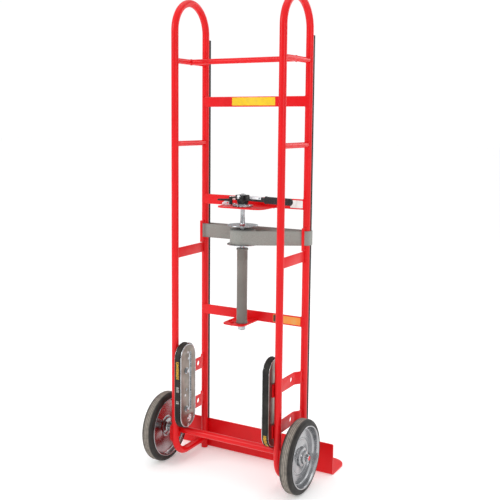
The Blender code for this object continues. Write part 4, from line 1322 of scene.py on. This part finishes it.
def makeHandle():
    h = handle
    r, low = h["headRadius"], h["headLow"]
    hole = drum["shaft"] + 0.0006
    collar = [
        (hole, low), (r - 0.0030, low), (r - 0.0012, low + 0.0012), (r - 0.0012, low + 0.0040),
        (r, low + 0.0052), (r, 0.9895), (r - 0.0016, 0.9912), (hole, 0.9912),
    ]
    fit(lathe("ratchetHead", collar, drumAt, (0, 0, 1), 64), "oxide", "ratchet_handle", body="handle")
    outlines = [rounded(*h["block"], (0.004,) * 4, 4), arc((0, 0), hole, 0, 345, 23)]
    at, thick = (0, 0, h["blockZ"]), h["blockThick"]
    made = plateFrom("headBlock", outlines, thick, at, "Z", 0.0012, handlePlace)
    fit(made, "oxide", body="handle")
    cap = ringProfile(0.0115, 0.0064, 0.9962, 0.9984, 0.0006)
    fit(lathe("headWasher", cap, drumAt, (0, 0, 1), 48), "polished", body="handle")
    start = r - 0.006
    end = h["reach"] - 0.006
    half = h["armWide"] / 2
    flare, neck = half + 0.0035, start + 0.030
    bar = [(start, -flare), (neck, -half), (end, -half), (end, half), (neck, half), (start, flare)]
    made = plateFrom("handleArm", [bar], h["armHigh"], (0, 0, h["z"]), "Z", 0.0008, handlePlace)
    fit(made, "oxide", body="handle")
    # zinc saddle folded over the arm beside the head
    wide, top, foot, t = h["saddleWide"], h["saddleTop"], 0.0004, 0.0015
    bend, knee = wide - 0.0016, 0.0082
    fold = [(-wide, foot), (-wide, knee), (-bend, top), (bend, top), (wide, knee), (wide, foot)]
    fold += [(wide - t, foot), (wide - t, knee), (-wide + t, knee), (-wide + t, foot)]
    at = (h["saddleAt"], 0, h["z"])
    made = plateFrom("armSaddle", [fold], h["saddleLong"], at, "X", 0.0003, handlePlace)
    fit(made, "bright", body="handle")
    across = tuple(handlePlace.to_3x3() @ Vector((0, -1, 0)))
    heads = [[alongHandle(reach, -wide, h["z"] + 0.0045)] for reach in h["rivetsAt"]]
    made = grow("saddleRivets", "rivet", heads, "zinc", {"Radius": 0.0028, "Facing": across})
    fit(made, "zinc", body="handle")
    bolt = [[alongHandle(-0.003, -0.0190, 0.9890)]]
    made = grow("headBolt", "bolt", bolt, "bright", {"Head": 0.0064, "Facing": across})
    fit(made, "bright", body="handle")
    x, y = pawls["leverPivot"]
    toPin = Vector((x, y)) - Vector((0, drumY))
    half, corners = 0.0072, (0.0068, 0.0005, 0.0005, 0.0068)
    ear = rounded((r - 0.008, -half), (toPin.length + half, half), corners, 6)
    spin = Matrix.Translation(drumAt) @ Matrix.Rotation(atan2(toPin.y, toPin.x), 4, "Z")
    fit(plateFrom("pawlEar", [ear], 0.004, (0, 0, 0.9888), "Z", 0.0007, spin), "oxide", body="handle")
    pin = [(0, 0.9685), (0.0025, 0.9685), (0.0025, 0.9915)]
    pin += [(0.0044, 0.9915), (0.0040, 0.9930), (0, 0.9934)]
    fit(lathe("leverPin", pin, (x, y, 0), (0, 0, 1), 28), "polished", body="handle")


def makeGrip():
    h = handle
    start, r = h["reach"] - h["gripLong"], h["gripRadius"]
    profile = [(0.0058, start), (r + 0.0008, start)]
    profile += [(r + 0.0013, start + 0.0012), (r + 0.0008, start + 0.0034)]
    first, last = start + 0.008, h["reach"] - 0.012
    for i in range(h["ridges"]):
        x = first + (last - first) * i / (h["ridges"] - 1)
        low = [(r - 0.0009, x - 0.0012), (r - 0.0009, x + 0.0012)]
        profile += [(r - 0.0001, x - 0.0022), *low, (r - 0.0001, x + 0.0022)]
    end = h["reach"]
    profile += [(r, end - 0.0060), (r - 0.0006, end - 0.0030), (r - 0.0024, end - 0.0009)]
    profile += [(r - 0.0052, end), (0.0032, end), (0.0024, end - 0.0012), (0, end - 0.0012), (0, start)]
    made = lathe("handleGrip", profile, (0, 0, 0), (1, 0, 0), 48)
    made.data.transform(handlePlace @ Matrix.Translation((0, 0, h["z"])))
    fit(made, "grip", "handle_grip", body="handle", angle=60)


def makePawls():
    px, py = pawls["leverPivot"]
    tx, ty = pawls["leverTip"]
    hub = ringProfile(0.0062, 0.0028, 0.9645, 0.9862, 0.0007)
    fit(lathe("drivePawlHub", hub, (px, py, 0), (0, 0, 1), 36), "oxide", "drive_pawl", body="drive_pawl")
    away = Vector((tx - px, ty - py, 0)).normalized()
    side = Vector((-away.y, away.x, 0))
    long = Vector((tx - px, ty - py)).length
    rings = []
    shape = (  # reach, half width, half height
        (0.003, 0.0044, 0.0054), (0.012, 0.0038, 0.0045), (0.030, 0.0036, 0.0038),
        (0.042, 0.0044, 0.0034), (long - 0.0015, 0.0046, 0.0030), (long + 0.0004, 0.0030, 0.0018),
    )
    for reach, wide, high in shape:
        middle = Vector((px, py, pawls["leverZ"] + 0.002 * reach / long)) + away * reach
        turns = [radians(22.5 * i) for i in range(16)]
        ring = [middle + side * wide * cos(a) + Vector((0, 0, high * sin(a))) for a in turns]
        rings.append(ring)
    fit(loft("thumbLever", rings), "oxide", body="drive_pawl", angle=50)
    hx, hy = pawls["holdPivot"]
    pivot, axis = Vector((hx, hy)), Vector((0, drumY))
    inward = (axis - pivot).normalized()
    square = Vector((inward.y, -inward.x))
    tip = axis - inward * (gear["tip"] + 0.0008) - square * 0.014
    turn = degrees(atan2(-square.y, -square.x))
    back = arc(pivot, 0.0080, turn, turn + 180, 14)
    outline = [tuple(tip + square * 0.0006), *reversed(back), tuple(tip - inward * 0.0012)]
    middle = gear["z"] + gear["thick"] / 2
    hole = arc(pivot, 0.0033, 0, 340, 17)
    made = plateFrom("holdingPawl", [outline, hole], gear["thick"] - 0.002, (0, 0, middle), "Z", 0.0005)
    fit(made, "polished", "holding_pawl", body="holding_pawl")
    stop = [(-0.0150, 0), (0.0150, 0), (0.0150, 0.0090)]
    stop += [(0.0105, 0.0165), (-0.0060, 0.0165), (-0.0150, 0.0100)]
    turned = Matrix.Rotation(radians(pawls["stopTurn"]), 4, "Z")
    place, thick = Matrix.Translation(pawls["stopAt"]) @ turned, pawls["stopThick"]
    hole = arc((0.0040, 0.0095), 0.0026, 0, 340, 17)
    fit(plateFrom("pawlStop", [stop, hole], thick, (0, 0, 0), "Y", 0.0004, place), "bright")
    foot = rounded((-0.0150, 0.0), (0.0150, 0.0080), (0, 0, 0.002, 0.002), 4)
    fit(plateFrom("pawlStopFoot", [foot], thick, (0, 0, thick / 2), "Z", 0.0004, place), "bright")
    coil, perTurn = [], 16  # points in one turn
    for i in range(pawls["springTurns"] * perTurn + 1):
        a = 2 * pi * i / perTurn
        z = 0.9596 + pawls["springPitch"] * i / perTurn + 0.0022
        coil.append((hx + 0.0050 * cos(a), hy + 0.0050 * sin(a), z))
    made = grow("pawlSpring", "tube", [coil], "polished", {"Radius": 0.0005, "Sides": 8})
    fit(made, "polished", body="holding_pawl")


def makeRecoil():
    n = recoil
    r, bore, hole = n["radius"], n["radius"] - n["wall"], drum["shaft"] + 0.0006
    top, low = n["top"], n["low"]
    profile = [
        (hole, top), (r + 0.0014, top), (r + 0.0020, top - 0.0008), (r + 0.0020, top - 0.0062),
        (r + 0.0012, top - 0.0072), (r, top - 0.0078), (r, top - 0.0400), (r + 0.0003, top - 0.0406),
        (r + 0.0003, top - 0.0418), (r, top - 0.0424), (r, low + 0.0080), (r + 0.0016, low + 0.0066),
        (r + 0.0018, low + 0.0006), (r + 0.0012, low), (hole, low), (hole, low + 0.004),
        (bore, low + 0.004), (bore, top - 0.005), (hole, top - 0.005),
    ]
    fit(lathe("recoilTube", profile, drumAt, (0, 0, 1), 64), "greyEnamel", "recoil_tube")
    keepNode("recoil_spring", "polished")
    low, high = (-0.062, rearY + 0.078), (0.026, ratchetPlate["front"])
    outline = rounded(low, high, (0.004, 0.004, 0.020, 0.020))
    bore = arc((0, drumY), 0.0094, 0, 345, 23)
    made = plateFrom("lowerPlate", [outline, bore], 0.005, (0, 0, n["plateZ"] + 0.0025), "Z", 0.0008)
    fit(made, "redEnamel", "lower_plate")
    tops = [[(x, rearY + y, n["plateZ"] + 0.0054)] for x, y in ((-0.048, 0.118), (-0.030, 0.098))]
    sizes = {"Head": 0.0060, "Facing": (0, 0, 1), "Twist": 0.5}
    fit(grow("lowerPlateBolts", "bolt", tops, "redEnamel", sizes), "redEnamel")
    tails = [[(p[0][0], p[0][1], n["plateZ"] - 0.0006)] for p in tops]
    fit(grow("lowerPlateNuts", "bolt", tails, "redEnamel", {**sizes, "Facing": (0, 0, -1)}), "redEnamel")
    seam = edgeSeam(-0.058, 0.022, n["plateZ"])
    fit(grow("lowerPlateWeld", "weld", seam, "redEnamel", weld), "redEnamel")


def makeStrapGuide(name, s):
    x = s * frameX
    bar = rounded((x - 0.005, 0.041), (x + 0.005, 0.045), (0.0015,) * 4, 4)
    made = plateFrom(name + "StrapGuide", [bar], 0.080, (0, 0, 0.846), "Z", 0.0004)
    fit(made, "redEnamel", name + "_strap_guide")
    for label, z in (("Low", 0.808), ("Top", 0.884)):
        foot = rounded((x - 0.0046, 0.0435), (x + 0.0046, 0.0600), (0.001,) * 4, 3)
        fit(plateFrom(f"{name}{label}GuideFoot", [foot], 0.0039, (0, 0, z), "Z", 0.0004), "redEnamel")


makeRatchetPlate()
makeDrum()
makeGear()
makeHandle()
makeGrip()
makePawls()
makeRecoil()
for name, s in sides.items():
    makeStrapGuide(name, s)
print("ratchet made")


# Webbing

webbing = {
    "high": 0.0508,
    "thick": 0.0017,
    "z": 0.8492,
    "rollRadius": 0.046,
    "turnPitch": 0.00185,
    "wrap": 0.0149,
    "corner": 0.0045,
}


def ribbon(name, path, thick, high, z):
    # a strap stood on edge along a run of (x, y) points, with its UV map in metres
    t, h, e = thick / 2, high / 2, 0.0006
    ring = [(t, -h + e), (t, -h / 3), (t, h / 3), (t, h - e), (t - e, h), (e - t, h)]
    ring += [(-t, h - e), (-t, h / 3), (-t, -h / 3), (-t, -h + e), (e - t, -h), (t - e, -h)]
    path = [Vector(p) for p in path]
    travel, points, far = [0.0], [], len(ring)
    for before, here in zip(path, path[1:]):
        travel.append(travel[-1] + (here - before).length)
    for i, point in enumerate(path):
        before = (point - path[i - 1]).normalized() if i else None
        after = (path[i + 1] - point).normalized() if i + 1 < len(path) else None
        ahead = ((before or after) + (after or before)).normalized()
        side = Vector((-ahead.y, ahead.x)) / max(0.5, ahead.dot(after or before))
        points += [(point.x + side.x * a, point.y + side.y * a, z + b) for a, b in ring]
    shell = bmesh.new()
    verts = [shell.verts.new(p) for p in points]
    layer = shell.loops.layers.uv.new("cloth")
    for i in range(len(path) - 1):
        for j in range(far):
            k = (j + 1) % far
            corners = ((i, j), (i, k), (i + 1, k), (i + 1, j))
            face = shell.faces.new([verts[a * far + b] for a, b in corners])
            for loop, (a, b) in zip(face.loops, corners):
                loop[layer].uv = (travel[a], ring[b][1])
    for i in (0, len(path) - 1):
        face = shell.faces.new([verts[i * far + j] for j in range(far)])
        for loop, (a, b) in zip(face.loops, ring):
            loop[layer].uv = (travel[i] + a, b)
    bmesh.ops.recalc_face_normals(shell, faces=shell.faces)
    mesh = bpy.data.meshes.new(name)
    shell.to_mesh(mesh)
    shell.free()
    return newObject(name, mesh), travel[-1]


def makeStrapRoll():
    w = webbing
    inner, outer = drum["shaft"] + 0.0014, w["rollRadius"] - w["thick"] / 2
    turns = (outer - inner) / w["turnPitch"]
    steps = int(turns * 40)
    path = []
    for i in range(steps + 1):
        share = i / steps
        a = 2 * pi * turns * share + 2.3
        r = inner + (outer - inner) * share
        path.append((r * cos(a), drumY + r * sin(a)))
    made, long = ribbon("strapRoll", path, w["thick"], w["high"], w["z"])
    fit(made, "webbing", "strap_roll", body="drum", angle=50)


def strapRoute():
    w = webbing
    axis, leg = Vector((0, drumY)), Vector((frameX, frontY))
    wound = w["rollRadius"] + 0.0003 + w["thick"] / 2
    between = leg - axis
    heading = atan2(between.y, between.x) + asin((wound - w["wrap"]) / between.length)
    leave = degrees(heading) - 90
    c = w["corner"]
    corner = (frameX + w["wrap"] - c, frontY + 0.0155)
    route = arc(axis, wound, leave - 70, leave, 20)
    route += arc(leg, w["wrap"], leave, 0, 12)
    route += arc(corner, c, 0, 90, 8)
    route += arc((-corner[0], corner[1]), c, 90, 180, 8)
    route += arc((-frameX, frontY), w["wrap"], 180, 270, 14)
    route.append((frameX - tubeRadius - 0.002, frontY - w["wrap"]))
    full = []
    for a, b in zip(route, route[1:]):  # long straights get points every 12 mm
        parts = max(1, int(dist(a, b) / 0.012))
        shares = [i / parts for i in range(parts)]
        full += [tuple(a[k] + (b[k] - a[k]) * share for k in (0, 1)) for share in shares]
    return full + [route[-1]]


def makeStrapRun():
    w = webbing
    route = strapRoute()
    made, long = ribbon("strapRun", route, w["thick"], w["high"], w["z"])
    fit(made, "webbing", "strap_run", angle=50)
    end, y = route[-1][0], route[-1][1]
    hemPath = [(end - 0.042 + 0.003 * i, y - w["thick"] * 0.95) for i in range(15)]
    hem, _ = ribbon("strapHem", hemPath, w["thick"], w["high"] - 0.001, w["z"])
    fit(hem, "webbing", angle=50)
    rows = []
    for x in (0.006, 0.036):
        rows.append([(end - x, y - w["thick"] * 1.45, w["z"] + z) for z in (-0.021, 0.021)])
    for z in (-0.021, 0.021):
        rows.append([(end - x, y - w["thick"] * 1.45, w["z"] + z) for x in (0.036, 0.006)])
    sizes = {"Pitch": 0.0036, "Block": (0.0024, 0.0008, 0.0008)}
    stitches = grow("hemStitches", "rib", rows, "whiteSticker", sizes)
    fit(stitches, "whiteSticker", slot="grey_webbing")


makeStrapRoll()
makeStrapRun()
print("webbing made")


# Stickers, all plain

stickers = {  # finish, low corner, high corner on the bar's rear face
    "upperSticker": ("yellowSticker", (-0.088, 1.3090), (0.085, 1.3375)),
    "lowerSticker": ("orangeSticker", (0.088, 0.5365), (0.1960, 0.5640)),
    "lowerStickerPanel": ("darkSticker", (0.0895, 0.5380), (0.1190, 0.5625)),
    "ratchetSticker": ("whiteSticker", (0.150, 0.9535), (0.1975, 0.9805)),
    "sideSticker": ("whiteSticker", (-0.091, 0.9690), (-0.0610, 0.9830)),
}


def makeStickers():
    back = crossMembers["barY"] - crossMembers["barThick"] / 2
    for name, (look, low, high) in stickers.items():
        lift = 0.00042 if name == "lowerStickerPanel" else 0.0001
        outline = rounded(low, high, (0.0022,) * 4, 4)
        fit(plateFrom(name, [outline], 0.0005, (0, back - lift, 0), "Y", 0.0001), look)


makeStickers()
print("stickers made")
